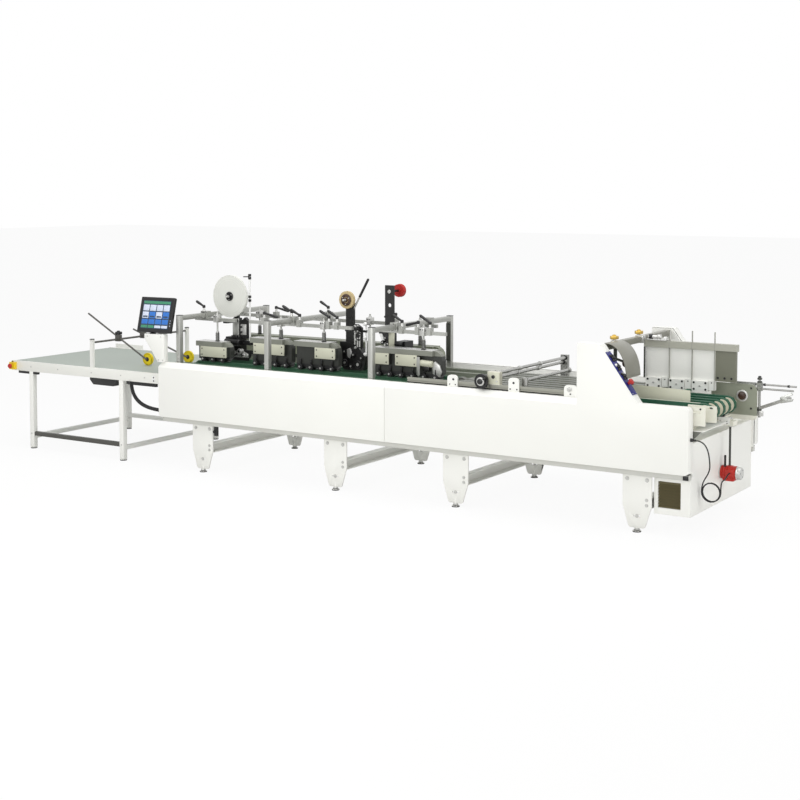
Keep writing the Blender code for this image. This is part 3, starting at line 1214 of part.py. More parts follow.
def vibrator():
    x, y, z = VIBRATOR_X, VIBRATOR_Y, VIBRATOR_HEIGHT
    half = VIBRATOR_LENGTH / 2
    body = rod((x + 0.02 - half, y, z), (x + 0.02 + half, y, z), VIBRATOR_RADIUS, 16)
    neck = block(around(x, 0.020), around(y, 0.020), (z + 0.005, z + 0.05 - SEAT))
    terminals = block((x - 0.02, x + 0.04), (y - 0.055, y), (z - 0.020, z + 0.020))
    part("vibrator", fuse(body, neck, terminals), RED)


def cord():
    """The vibrator's lead: out of a gland in the cover's end, one hanging coil, then to the motor."""
    gland_x = COVER_RIGHT + SEAT
    gland = turned([(0, GLAND_LENGTH), (0.010, GLAND_LENGTH), (0.014, 0.012), (0.014, 0), (0, 0)],
                   (gland_x, GLAND_Y, GLAND_HEIGHT), (1, 0, 0), 10)
    part("cord_gland", gland, BLACK)
    ring_x, ring_y, ring_z = COIL_CENTRE
    outer, inner = COIL_RADIUS + COIL_HALF, COIL_RADIUS - COIL_HALF
    start = Vector((gland_x + GLAND_LENGTH + SEAT, GLAND_Y, GLAND_HEIGHT))
    end = Vector((ring_x, ring_y, ring_z + outer + SEAT))
    down = smooth_route(start, Vector((0.12, 0, 0)), end, Vector((0, 0, 0.25)), 14)
    part("cord_drop", tube(down, CORD_RADIUS), BLACK)
    half = COIL_WIDTH / 2
    ring = turned([(outer, half), (outer, -half), (inner, -half), (inner, half)], COIL_CENTRE, (0, 1, 0), 24)
    part("cord_coil", ring, BLACK)
    start = Vector((ring_x + 0.02, ring_y + half + SEAT, ring_z + COIL_RADIUS))
    end = Vector((VIBRATOR_X + 0.02, VIBRATOR_Y - 0.055 - SEAT, VIBRATOR_HEIGHT))
    rise = smooth_route(start, Vector((0, 0.12, 0)), end, Vector((0, -0.12, 0)), 11)
    for k, point in enumerate(rise[1:-1]):
        point.z -= LEAD_SAG * math.sin(math.pi * k / (len(rise) - 3)) ** 2
    part("cord_lead", tube(rise, CORD_RADIUS), BLACK)


covers()
walls()
for number, x in enumerate(LEG_POSITIONS, 1):
    leg_frame(number, x)
table()
table_legs()
table_belt()
table_fittings()
press_holder()
operator_panel()
gantries()
for name in HOLD_DOWNS:
    hold_down(name)
for name in CARRIERS:
    carrier(name)
lower_belts()
tape_head_1()
tape_head_2()
tape_head_3()
middle_rail()
guide_shafts()
middle_bed()
front_gate()
side_guide()
feed_belts()
rear_frame()
rear_support()
cabinet()
console()
vibrator()
cord()

# The machine's origin is on the floor under the middle of its length and width.
machine = bpy.data.objects.new("machine", None)
parts.objects.link(machine)
machine.location = (-(TABLE_LEFT + REAR_REACH) / 2, -MACHINE_WIDTH / 2, 0)
for made in list(parts.objects):
    if made is not machine:
        made.parent = machine
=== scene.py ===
# Tape applicator machine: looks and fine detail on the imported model.
# Places are measured from the seam of the near covers (x), their outer face (y) and the floor (z).
import json
import math

import bpy
from mathutils import Matrix, Vector

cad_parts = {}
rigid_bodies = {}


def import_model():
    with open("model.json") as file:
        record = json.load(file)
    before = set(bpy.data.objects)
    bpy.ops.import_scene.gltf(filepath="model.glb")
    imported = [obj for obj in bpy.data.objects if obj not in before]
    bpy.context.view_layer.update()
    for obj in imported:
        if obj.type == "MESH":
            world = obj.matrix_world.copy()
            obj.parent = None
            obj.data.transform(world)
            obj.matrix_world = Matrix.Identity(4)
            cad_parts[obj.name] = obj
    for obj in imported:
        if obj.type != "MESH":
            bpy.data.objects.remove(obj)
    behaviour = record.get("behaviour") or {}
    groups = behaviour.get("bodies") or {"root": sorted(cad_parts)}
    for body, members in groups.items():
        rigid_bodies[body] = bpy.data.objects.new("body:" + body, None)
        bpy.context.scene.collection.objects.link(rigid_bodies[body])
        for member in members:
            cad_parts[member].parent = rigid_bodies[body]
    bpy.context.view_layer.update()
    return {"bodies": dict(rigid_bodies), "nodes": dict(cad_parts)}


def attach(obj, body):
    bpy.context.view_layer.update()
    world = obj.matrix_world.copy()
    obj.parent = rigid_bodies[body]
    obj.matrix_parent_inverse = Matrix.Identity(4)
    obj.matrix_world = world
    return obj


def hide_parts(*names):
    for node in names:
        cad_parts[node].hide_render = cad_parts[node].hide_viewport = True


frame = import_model()
shift = Vector((0.69, -0.775, 0.0))  # from the machine's seam to the model's origin
print("frame loaded:", len(frame["nodes"]), "nodes")


# Camera, light and floor

view = {
    "place": (7.191, -10.719, 2.605),
    "turn": 0.568,
    "down": 0.060,
    "lens": 65.07,
    "shiftY": -0.160,
}

camera = bpy.data.objects.new("camera", bpy.data.cameras.new("camera"))
bpy.context.scene.collection.objects.link(camera)
camera.location = view["place"]
camera.rotation_euler = (math.pi / 2 - view["down"], 0, view["turn"])
camera.data.lens = view["lens"]
camera.data.sensor_width = 36
camera.data.shift_y = view["shiftY"]
camera.data.clip_end = 200
bpy.context.scene.camera = camera
bpy.context.scene.view_settings.view_transform = "Standard"


def lamp(name, place, aim, size, power):
    data = bpy.data.lights.new(name, "AREA")
    data.shape = "RECTANGLE"
    data.size, data.size_y = size
    data.energy = power
    made = bpy.data.objects.new(name, data)
    bpy.context.scene.collection.objects.link(made)
    made.location = place
    made.rotation_euler = (Vector(aim) - Vector(place)).to_track_quat("-Z", "Y").to_euler()


lamp("softbox over", (0.5, -1.0, 6.0), (0, 0, 0), (9.0, 5.0), 270)
lamp("softbox front", (1.0, -8.5, 3.2), (0, 0, 0.6), (8.0, 3.0), 200)
lamp("softbox right", (9.0, -1.5, 3.0), (2.0, 0, 0.7), (4.0, 3.0), 110)


# Shader kit: a wire is a socket that adds and multiplies like a number

class Wire:
    def __init__(self, finish, socket):
        self.finish = finish
        self.socket = socket

    def math(self, operation, other=0.0, turned=False):
        pair = (other, self) if turned else (self, other)
        return self.finish.node("ShaderNodeMath", {"operation": operation}, pair)

    def __add__(self, other):
        return self.math("ADD", other)

    def __radd__(self, other):
        return self.math("ADD", other)

    def __sub__(self, other):
        return self.math("SUBTRACT", other)

    def __rsub__(self, other):
        return self.math("SUBTRACT", other, True)

    def __mul__(self, other):
        return self.math("MULTIPLY", other)

    def __rmul__(self, other):
        return self.math("MULTIPLY", other)

    def __lt__(self, other):
        return self.math("LESS_THAN", other)

    def __gt__(self, other):
        return self.math("GREATER_THAN", other)


def tone(red, green, blue):
    # a colour as it is seen on screen, 0 to 255
    return [c / 255 / 12.92 if c <= 10 else ((c / 255 + 0.055) / 1.055) ** 2.4 for c in (red, green, blue)] + [1.0]


class Finish:
    def __init__(self, name, colour, roughness, metallic=0.0):
        self.material = bpy.data.materials.new(name)
        self.material.use_nodes = True
        self.tree = self.material.node_tree
        self.shader = self.tree.nodes["Principled BSDF"]
        self.colour = colour
        self.shader.inputs["Base Color"].default_value = colour
        self.shader.inputs["Roughness"].default_value = roughness
        self.shader.inputs["Metallic"].default_value = metallic
        self.place = self.node("ShaderNodeTexCoord", {}, (), "Object")

    def node(self, kind, settings, values, output=0):
        made = self.tree.nodes.new(kind)
        for key, value in settings.items():
            if key == "stops":
                for stop, (where, shade) in zip(made.color_ramp.elements, value):
                    stop.position = where
                    stop.color = shade
            else:
                setattr(made, key, value)
        pairs = values.items() if isinstance(values, dict) else enumerate(values)
        for key, value in pairs:
            if isinstance(value, Wire):
                self.tree.links.new(value.socket, made.inputs[key])
            else:
                made.inputs[key].default_value = value
        return Wire(self, made.outputs[output])

    def feed(self, name, wire):
        self.tree.links.new(wire.socket, self.shader.inputs[name])
        if name == "Base Color":
            self.base = wire

    def noise(self, scale, detail=3.0, stretch=None):
        where = self.place
        if stretch:
            where = self.node("ShaderNodeMapping", {}, {"Vector": where, "Scale": stretch})
        return self.node("ShaderNodeTexNoise", {}, {"Vector": where, "Scale": scale, "Detail": detail}, "Fac")

    def axes(self):
        split = self.node("ShaderNodeSeparateXYZ", {}, {"Vector": self.place})
        outputs = split.socket.node.outputs
        return [Wire(self, outputs[k]) for k in range(3)]

    def blend(self, factor, first, second):
        return self.node("ShaderNodeMix", {"data_type": "RGBA"}, {0: factor, 6: first, 7: second}, 2)

    def shade(self, amount, wire):
        # the colour made darker where the wire is 0 and kept where it is 1
        dark = [c * (1 - amount) for c in self.colour[:3]] + [1.0]
        return self.blend(wire, dark, self.colour)

    def relief(self, height, strength, distance=0.001):
        values = {"Height": height, "Strength": strength, "Distance": distance}
        self.feed("Normal", self.node("ShaderNodeBump", {}, values))


def between(wire, low, high, soft=0.004):
    # 1 where the wire lies between two values, with a soft edge
    up = (wire - low) * (1 / soft)
    down = (high - wire) * (1 / soft)
    up = up.math("MINIMUM", 1.0).math("MAXIMUM", 0.0)
    down = down.math("MINIMUM", 1.0).math("MAXIMUM", 0.0)
    return up * down


finishes = {}


def powderCoat(name, colour, roughness, dust=0.0):
    made = Finish(name, colour, roughness)
    broad = made.noise(1.7, 2.0)
    base = made.shade(0.05, broad)
    if dust:
        height = made.axes()[2]
        low = (1.0 - height * 4.0).math("MAXIMUM", 0.0) * made.noise(9.0, 4.0) * dust
        base = made.blend(low, base, tone(150, 144, 130))
    made.feed("Base Color", base)
    made.feed("Roughness", made.noise(45.0, 2.0) * 0.12 + (roughness - 0.06))
    made.relief(made.noise(650.0, 1.0), 0.12, 0.0006)
    finishes[name] = made
    return made


def brushed(name, colour, roughness, metallic, along, depth=0.12):
    # a ground or drawn metal with fine lines along one axis
    made = Finish(name, colour, roughness, metallic)
    stretch = [90.0, 90.0, 90.0]
    stretch["xyz".index(along)] = 2.0
    lines = made.noise(6.0, 3.0, stretch)
    made.feed("Base Color", made.shade(depth, lines * 0.7 + made.noise(3.0) * 0.3))
    made.feed("Roughness", lines * 0.22 + (roughness - 0.11))
    made.relief(lines, 0.1, 0.0004)
    finishes[name] = made
    return made


def plastic(name, colour, roughness, grain=0.06):
    made = Finish(name, colour, roughness)
    made.feed("Base Color", made.shade(0.08, made.noise(14.0)))
    made.feed("Roughness", made.noise(60.0) * 0.1 + (roughness - 0.05))
    made.relief(made.noise(900.0, 1.0), grain, 0.0004)
    finishes[name] = made
    return made


powderCoat("whiteCoat", tone(238, 238, 233), 0.38, 0.25)
powderCoat("creamCoat", tone(180, 182, 165), 0.42)
powderCoat("paleCoat", tone(206, 206, 186), 0.42)
powderCoat("greyCoat", tone(112, 114, 106), 0.45)
powderCoat("darkCoat", tone(62, 64, 58), 0.5)
powderCoat("blackCoat", tone(18, 18, 18), 0.4)
brushed("aluminium", tone(186, 187, 182), 0.36, 0.75, "z")
brushed("drawnRail", tone(190, 191, 187), 0.32, 0.8, "x")
brushed("steel", tone(178, 178, 175), 0.26, 0.9, "y")
plastic("blackPlastic", tone(15, 15, 16), 0.35)
plastic("blackRubber", tone(30, 30, 31), 0.75, 0.2)
plastic("yellowPlastic", tone(240, 214, 14), 0.4)
plastic("redPlastic", tone(170, 26, 18), 0.35)
plastic("whitePlastic", tone(240, 240, 238), 0.4)
plastic("bluePanel", tone(22, 24, 112), 0.35, 0.02)
plastic("louvre", tone(96, 88, 66), 0.5)
brushed("brass", tone(206, 172, 84), 0.34, 0.7, "z")
brushed("silver", tone(206, 206, 203), 0.3, 0.6, "z")
powderCoat("redCoat", tone(186, 34, 22), 0.32)
powderCoat("gateCoat", tone(132, 131, 121), 0.35)
plastic("brownPlastic", tone(58, 36, 24), 0.35)
plastic("screenBlue", tone(44, 112, 196), 0.22, 0.01)
plastic("screenPale", tone(206, 214, 232), 0.22, 0.01)
plastic("screenGreen", tone(62, 138, 104), 0.22, 0.01)
plastic("screenDark", tone(40, 62, 84), 0.22, 0.01)


def beltFinish(name, colour, roughness, weave, depth):
    # woven cover: fine cross ribs and lengthwise threads
    made = Finish(name, colour, roughness)
    x, y, z = made.axes()
    ribs = (x + z).math("MULTIPLY", weave).math("SINE") * 0.5 + 0.5
    threads = (y * weave).math("SINE") * 0.5 + 0.5
    worn = made.noise(5.0, 4.0, (1.0, 14.0, 1.0))
    made.feed("Base Color", made.shade(depth, worn * 0.7 + ribs * threads * 0.3))
    made.feed("Roughness", worn * 0.15 + (roughness - 0.07))
    made.relief(ribs + threads, 0.25, 0.0005)
    finishes[name] = made
    return made


beltFinish("greenBelt", tone(40, 92, 62), 0.5, 1400.0, 0.55)
beltFinish("tableBelt", tone(172, 180, 172), 0.62, 1100.0, 0.14)


def paperRoll(name, colour, centre):
    # the sides of a wound roll show its layers as fine rings
    made = Finish(name, colour, 0.6)
    x, y, z = made.axes()
    across = x - (centre[0] + shift.x)
    above = z - centre[2]
    radius = (across * across + above * above).math("SQRT")
    rings = (radius * 1600.0).math("SINE") * 0.5 + 0.5
    bands = made.node("ShaderNodeTexNoise", {"noise_dimensions": "1D"}, {"W": radius, "Scale": 90.0}, "Fac")
    made.feed("Base Color", made.shade(0.16, rings * 0.3 + bands * 0.7))
    made.relief(rings, 0.2, 0.0004)
    finishes[name] = made
    return made


paperRoll("paperRoll1", tone(228, 229, 222), (-2.155, 0.652, 1.560))
paperRoll("paperRoll2", tone(196, 176, 130), (-0.820, 0.652, 1.583))
paperRoll("paperRoll3", tone(178, 30, 24), (-0.365, 0.805, 1.675))


def zones(made, rows):
    # paints parts of a solid another colour: a row is a colour and its limits along x, y and z
    places = made.axes()
    for shade, *limits in rows:
        mask = None
        for wire, start, span in zip(places, shift, limits):
            if span:
                inside = between(wire, span[0] + start, span[1] + start, 0.001)
                mask = inside if mask is None else mask * inside
        made.feed("Base Color", made.blend(mask, made.base, shade))


def outsideRound(made, x, z, radius):
    # 1 outside a round of this radius about an axis along y, 0 inside it
    places = made.axes()
    across, above = places[0] - (x + shift.x), places[2] - z
    return ((across * across + above * above).math("SQRT") - radius).math("GREATER_THAN", 0.0)


inkBlack = tone(26, 26, 27)
cream = tone(206, 207, 186)
olive = tone(138, 143, 122)
zones(powderCoat("tableRail", tone(232, 232, 226), 0.4), [
    (inkBlack, None, (0.107, 0.60), (0.60, 0.783)),
    (inkBlack, None, (0.070, 0.60), (0.60, 0.7645)),
])
zones(powderCoat("tableLegs", tone(240, 240, 235), 0.4), [
    (tone(74, 73, 68), (-4.19, -3.05), (0.0, 0.20), (0.08, 0.20)),
    (tone(84, 83, 78), (-2.94, -2.10), (0.0, 1.55), (0.08, 0.30)),
])
zones(powderCoat("pressRods", tone(84, 82, 78), 0.35), [
    (tone(228, 228, 223), (-3.43, -3.37), (0.05, 0.115), (0.80, 1.14)),
    (tone(228, 228, 223), (-3.43, -3.37), (1.435, 1.50), (0.80, 1.14)),
])
zones(powderCoat("wallCoat", tone(240, 240, 235), 0.4), [
    (tone(196, 196, 190), None, None, (0.40, 0.477)),
    (tone(70, 70, 66), None, (0.0, 0.0858), (0.474, 0.481)),
    (tone(70, 70, 66), None, (1.4642, 1.55), (0.474, 0.481)),
])
for number, shoulder in (("1", 1.100), ("2", 1.165), ("3", 1.165), ("4", 1.160)):
    zones(powderCoat("carrier" + number, tone(52, 54, 50), 0.42), [
        (tone(132, 134, 124), None, None, (shoulder, 1.3)),
        (cream, None, (0.40, 0.437), (1.0, shoulder + 0.0005)),
        (inkBlack, None, None, (0.90, 1.008)),
    ])
zones(powderCoat("farCarrier", olive, 0.42), [
    (tone(120, 124, 108), None, None, (1.124, 1.3)),
    (inkBlack, None, None, (0.90, 1.008)),
])
zones(brushed("nearRail", tone(158, 158, 148), 0.36, 0.55, "x"), [
    (inkBlack, None, None, (0.90, 0.990)),
    (tone(240, 240, 235), None, (0.0, 0.0857), None),
    (inkBlack, (0.860, 0.9285), None, (1.004, 1.3)),
    (tone(222, 220, 204), (0.9285, 1.060), None, (1.0235, 1.3)),
])
zones(finishes["greenBelt"], [
    (tone(104, 104, 98), (0.28, 3.0), None, None),
    # Grey-green on the far lanes stands for a pale plate there: partly its colour, partly painted shade.
    (tone(112, 118, 104), None, (0.90, 1.6), None),
])
zones(powderCoat("sideGuide", tone(243, 243, 238), 0.36), [
    (tone(168, 168, 156), None, None, (1.309, 1.37)),
    (tone(112, 113, 98), (2.5215, 2.80), None, (1.07, 1.312)),
    (tone(150, 150, 142), (2.1365, 2.1435), (0.70, 0.893), None),
    (tone(150, 150, 142), (2.3265, 2.3335), (0.70, 0.893), None),
    (tone(150, 150, 142), (2.5125, 2.5195), (0.70, 0.893), None),
])
zones(powderCoat("rearCoat", tone(228, 227, 214), 0.4), [
    (tone(142, 146, 130), None, (0.99, 1.40), (0.805, 1.10)),
    (tone(58, 58, 54), (2.685, 2.715), None, (0.40, 0.758)),
])
zones(powderCoat("cabinetCoat", tone(240, 240, 235), 0.38, 0.2), [
    (tone(120, 112, 84), (2.3755, 2.5545), (0.1062, 0.140), (0.2005, 0.3995)),
])
zones(plastic("stopButton", tone(236, 200, 26), 0.4), [(tone(176, 26, 18), None, (-0.2, 0.031), None)])

feedBelt = beltFinish("feedBelt", tone(18, 88, 62), 0.5, 1400.0, 0.4)
idleWheel = {"x": 2.6425, "z": 0.9025, "tyre": 0.0585}
rim = outsideRound(feedBelt, idleWheel["x"], idleWheel["z"], idleWheel["tyre"])
wheelSide = between(feedBelt.axes()[0], idleWheel["x"] - 0.012 + shift.x, 3.0 + shift.x) * (1.0 - rim)
feedBelt.feed("Base Color", feedBelt.blend(wheelSide, feedBelt.base, tone(214, 210, 190)))
zones(feedBelt, [(tone(232, 231, 216), (1.95, 2.60), (0.345, 0.3805), (0.9695, 1.0))])
print("finishes ready:", len(finishes))


# Tools for building pieces by hand

pieces = {}
bodyOf = {}


def alone(obj):
    bpy.ops.object.select_all(action="DESELECT")
    obj.select_set(True)
    bpy.context.view_layer.objects.active = obj


def settle(obj):
    alone(obj)
    bpy.ops.object.transform_apply(location=True, rotation=True, scale=True)
    return obj


def editing(start):
    bpy.ops.object.mode_set(mode="EDIT" if start else "OBJECT")


def put(obj, group, finish):
    obj.data.materials.clear()
    obj.data.materials.append(finishes[finish].material)
    pieces.setdefault((group, finish), []).append(obj)
    return obj


def box(low, high, edge=0.0015):
    middle = [(a + b) / 2 for a, b in zip(low, high)]
    size = [b - a for a, b in zip(low, high)]
    bpy.ops.mesh.primitive_cube_add(size=1, location=middle)
    obj = bpy.context.object
    obj.scale = size
    settle(obj)
    if edge:
        editing(True)
        bpy.ops.mesh.select_all(action="SELECT")
        bpy.ops.mesh.bevel(offset=min(edge, min(size) * 0.3), segments=2, affect="EDGES")
        editing(False)
    return obj


def lathe(profile, centre, axis, sides=20):
    # a disc is drawn out step by step: each step is (radius, height) along the axis
    bpy.ops.mesh.primitive_circle_add(vertices=sides, radius=profile[0][0], fill_type="NGON")
    obj = bpy.context.object
    editing(True)
    bpy.ops.mesh.select_all(action="SELECT")
    bpy.ops.transform.translate(value=(0, 0, profile[0][1]))
    for (radius, height), (wide, high) in zip(profile, profile[1:]):
        bpy.ops.mesh.extrude_region_move(TRANSFORM_OT_translate={"value": (0, 0, high - height)})
        grow = wide / radius
        if grow != 1:
            bpy.ops.transform.resize(value=(grow, grow, 1), center_override=(0, 0, high))
    bpy.ops.mesh.select_all(action="SELECT")
    bpy.ops.mesh.normals_make_consistent(inside=False)
    editing(False)
    obj.rotation_mode = "QUATERNION"
    obj.rotation_quaternion = Vector(axis).to_track_quat("Z", "Y")
    obj.location = centre
    return settle(obj)


def bar(start, end, radius, sides=16, edge=0.0):
    start, end = Vector(start), Vector(end)
    length = (end - start).length
    edge = min(edge, radius * 0.4, length * 0.3)
    profile = [(radius, 0), (radius, length)]
    if edge:
        profile = [(radius - edge, 0), (radius, edge), (radius, length - edge), (radius - edge, length)]
    return lathe(profile, start, end - start, sides)


def screw(centre, axis, radius=0.007, head=0.005):
    # a socket screw: a round head with its recess
    return lathe([(radius * 0.94, 0), (radius, head * 0.3), (radius, head * 0.8), (radius * 0.9, head),
                  (radius * 0.5, head), (radius * 0.45, head * 0.45)], centre, axis, 12)


def panel(outline, plane, low, high, edge=0.0):
    # a flat outline drawn as a curve, thickened and made a mesh
    curve = bpy.data.curves.new("outline", "CURVE")
    curve.dimensions = "2D"
    curve.fill_mode = "BOTH"
    curve.extrude = (high - low) / 2
    spline = curve.splines.new("POLY")
    spline.points.add(len(outline) - 1)
    for point, (u, v) in zip(spline.points, outline):
        point.co = (u, v, 0, 1)
    spline.use_cyclic_u = True
    obj = bpy.data.objects.new("outline", curve)
    bpy.context.scene.collection.objects.link(obj)
    middle = (low + high) / 2
    turn, along = {
        "XZ": (Matrix.Rotation(math.pi / 2, 4, "X"), (0, middle, 0)),
        "XY": (Matrix.Identity(4), (0, 0, middle)),
        "YZ": (Matrix(((0, 0, 1, 0), (1, 0, 0, 0), (0, 1, 0, 0), (0, 0, 0, 1))), (middle, 0, 0)),
    }[plane]
    obj.matrix_world = Matrix.Translation(along) @ turn
    alone(obj)
    bpy.ops.object.convert(target="MESH")
    obj = bpy.context.object
    settle(obj)
    editing(True)
    bpy.ops.mesh.select_all(action="SELECT")
    bpy.ops.mesh.remove_doubles(threshold=0.00001)
    bpy.ops.mesh.normals_make_consistent(inside=False)
    editing(False)
    if edge:
        bevel = obj.modifiers.new("edge", "BEVEL")
        bevel.width = edge
        bevel.segments = 2
        bevel.limit_method = "ANGLE"
        bpy.ops.object.modifier_apply(modifier=bevel.name)
    return obj


def strand(points, radius, sides=8, cyclic=False):
    # a wire or tube along points
    curve = bpy.data.curves.new("strand", "CURVE")
    curve.dimensions = "3D"
    curve.bevel_depth = radius
    curve.bevel_resolution = max(1, sides // 4)
    curve.use_fill_caps = True
    spline = curve.splines.new("POLY")
    spline.points.add(len(points) - 1)
    for point, spot in zip(spline.points, points):
        point.co = (*spot, 1)
    spline.use_cyclic_u = cyclic
    obj = bpy.data.objects.new("strand", curve)
    bpy.context.scene.collection.objects.link(obj)
    alone(obj)
    bpy.ops.object.convert(target="MESH")
    obj = bpy.context.object
    editing(True)
    bpy.ops.mesh.select_all(action="SELECT")
    bpy.ops.mesh.remove_doubles(threshold=0.00001)
    bpy.ops.mesh.normals_make_consistent(inside=False)
    editing(False)
    return obj


def copies(obj, offsets):
    made = [obj]
    for offset in offsets:
        twin = obj.copy()
        twin.data = obj.data.copy()
        twin.data.transform(Matrix.Translation(offset))
        bpy.context.scene.collection.objects.link(twin)
        made.append(twin)
    return made


def join(objects):
    bpy.ops.object.select_all(action="DESELECT")
    for obj in objects:
        obj.select_set(True)
    bpy.context.view_layer.objects.active = objects[0]
    if len(objects) > 1:
        bpy.ops.object.join()
    return bpy.context.object


def soften(node, edge, finish, group=None):
    # a copy of the solid with clean faces and rounded edges that stands for it
    source = frame["nodes"][node]
    obj = bpy.data.objects.new(node + "_skin", source.data.copy())
    bpy.context.scene.collection.objects.link(obj)
    alone(obj)
    editing(True)
    bpy.ops.mesh.select_all(action="SELECT")
    bpy.ops.mesh.remove_doubles(threshold=0.00002)
    bpy.ops.mesh.dissolve_limited(angle_limit=math.radians(0.5))
    editing(False)
    bevel = obj.modifiers.new("edge", "BEVEL")
    bevel.width = edge
    bevel.segments = 2
    bevel.limit_method = "ANGLE"
    bevel.angle_limit = math.radians(35)
    bevel.use_clamp_overlap = True
    bpy.ops.object.modifier_apply(modifier=bevel.name)
    bpy.ops.object.shade_smooth_by_angle(angle=math.radians(35))
    obj.data.materials.clear()
    obj.data.materials.append(finishes[finish].material)
    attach(obj, bodyOf.get(node, "machine"))
    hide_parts(node)
    return obj


for node in frame["nodes"]:
    if node + "_body" in frame["bodies"]:
        bodyOf[node] = node + "_body"



# Vibrator's lead: gland, drop, hanging coil of two and a half turns, and the run to the motor

lead = {
    "exit": (2.6703, 0.045, 0.742), "diameter": 0.010, "coil": (2.725, 0.280, 0.320), "radius": 0.070,
    "turns": 2.5, "width": 0.0255, "end": (2.720, 0.6897, 0.395), "length": 2.06,
    "straight": (0.020, 0, 0), "pull": (0.240, 0, 0), "drop": ((2.760, 0.150, 0.560), (-0.020, 0.120, -0.320)),
    "rise": (((2.785, 0.380, 0.400), (-0.010, 0.200, 0.0)), ((2.740, 0.540, 0.380), (-0.030, 0.160, 0.0))),
}


def smoothRun(stops, steps):
    # points on a smooth curve through stops of a place and the direction it is passed in
    points = []
    for (place, pull), (following, after) in zip(stops, stops[1:]):
        place, pull, following, after = (Vector(v) for v in (place, pull, following, after))
        for k in range(steps):
            t = k / steps
            points.append(place * (2 * t ** 3 - 3 * t * t + 1) + pull * (t ** 3 - 2 * t * t + t)
                          + following * (3 * t * t - 2 * t ** 3) + after * (t ** 3 - t * t))
    return points + [Vector(stops[-1][0])]


leaving = Vector(lead["exit"])
ring = Vector(lead["coil"])
coilPoints = []
coilSteps = int(lead["turns"] * 20)
for k in range(coilSteps + 1):
    angle = math.pi + math.tau * lead["turns"] * k / coilSteps
    coilPoints.append(ring + Vector((lead["radius"] * math.cos(angle), lead["width"] * (k / coilSteps - 0.5),
                                     lead["radius"] * math.sin(angle))))
dropStops = [(leaving + Vector(lead["straight"]), lead["pull"]), lead["drop"], (coilPoints[0], (0, 0.004, -0.340))]
riseStops = [(coilPoints[-1], (0, 0.004, 0.200)), *lead["rise"], (lead["end"], (0, 0.150, 0))]
route = [leaving] + smoothRun(dropStops, 12)[:-1] + coilPoints[:-1] + smoothRun(riseStops, 10)
length = sum((b - a).length for a, b in zip(route, route[1:]))
print("lead length", round(length, 3))
line = bpy.data.curves.new("vibrator_lead", "CURVE")
line.dimensions = "3D"
line.bevel_depth = lead["diameter"] / 2
line.bevel_resolution = 3
line.use_fill_caps = True
spline = line.splines.new("POLY")
spline.points.add(len(route) - 1)
for point, place in zip(spline.points, route):
    point.co = (*(place + shift), 1)
cord = bpy.data.objects.new("vibrator_lead", line)
bpy.context.scene.collection.objects.link(cord)
line.materials.append(finishes["blackRubber"].material)
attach(cord, "machine")
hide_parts("cord_drop", "cord_coil", "cord_lead")
relief = lathe([(0.0095, 0), (0.0095, 0.005), (0.0065, 0.022)], leaving, (1, 0, 0), 20)
relief.data.transform(Matrix.Translation(shift))
relief.name = "lead_relief"
relief.data.materials.append(finishes["blackRubber"].material)
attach(relief, "machine")


# Finishes of the solids that keep their shape, and softened copies of the larger ones

softened = {
    "near_cover_left": (0.003, "whiteCoat"), "near_cover_right": (0.003, "whiteCoat"),
    "far_cover_left": (0.003, "whiteCoat"), "far_cover_right": (0.003, "whiteCoat"),
    "leg_frame_1": (0.0015, "whiteCoat"), "leg_frame_2": (0.0015, "whiteCoat"),
    "leg_frame_3": (0.0015, "whiteCoat"), "leg_frame_4": (0.0015, "whiteCoat"),
    "panel_pedestal": (0.004, "whiteCoat"), "table_far_rail": (0.003, "tableRail"),
    "table_near_rail": (0.003, "tableRail"), "table_legs": (0.002, "tableLegs"),
    "gantry_1": (0.003, "aluminium"), "gantry_2": (0.003, "aluminium"), "gantry_3": (0.003, "aluminium"),
    "panel_case": (0.002, "blackPlastic"),
}
kept = {
    "near_side_wall": "wallCoat", "far_side_wall": "wallCoat", "control_cabinet": "cabinetCoat",
    "table_belt": "tableBelt", "table_bed": "greyCoat",
    "emergency_stop": "stopButton", "press_bar": "pressRods", "press_wheel_near": "yellowPlastic",
    "press_wheel_far": "yellowPlastic", "near_hold_down_1": "aluminium", "near_hold_down_2": "aluminium",
    "near_hold_down_3": "aluminium", "far_hold_down": "aluminium", "near_carrier_1": "carrier1",
    "near_carrier_2": "carrier2", "near_carrier_3": "carrier3", "near_carrier_4": "carrier4",
    "far_carrier": "farCarrier", "lower_belts": "greenBelt", "tape_head_1": "blackCoat",
    "tape_head_2": "blackCoat", "tape_head_3": "blackCoat", "tape_reel_1": "paperRoll1",
    "tape_reel_2": "paperRoll2", "tape_reel_3": "paperRoll3", "near_guide_rail": "nearRail",
    "handwheel": "blackPlastic", "guide_shafts": "steel", "middle_bed": "greyCoat",
    "feeder_side_guide": "sideGuide", "feed_belts": "feedBelt",
    "feeder_rear_frame": "rearCoat", "rear_support": "steel",
    "cord_gland": "blackPlastic",
}

standsFor = {
    ("feeder_gate", "gateCoat"): "feeder_front_gate", ("vibrator", "redCoat"): "vibrator",
    ("conduit", "blackRubber"): "conduit", ("console", "bluePanel"): "console_panel",
}
for node, (edge, finish) in softened.items():
    soften(node, edge, finish)
for node, finish in kept.items():
    mesh = frame["nodes"][node].data
    mesh.materials.clear()
    mesh.materials.append(finishes[finish].material)
print("solids dressed:", len(softened) + len(kept))


# Small parts of the line, placed from the seam, the near cover's face and the floor

path = 0.955
barTop = 1.3647
nearLane = 0.50
farLane = 1.05
tapeY = 0.70


def dome(centre, axis, radius, height, sides=14):
    return lathe([(radius, 0), (radius, height * 0.45), (radius * 0.86, height * 0.8), (radius * 0.5, height)],
                 centre, axis, sides)


def along(start, end, share):
    return Vector(start).lerp(Vector(end), share)


# Clamping levers, stations and springs on the bars

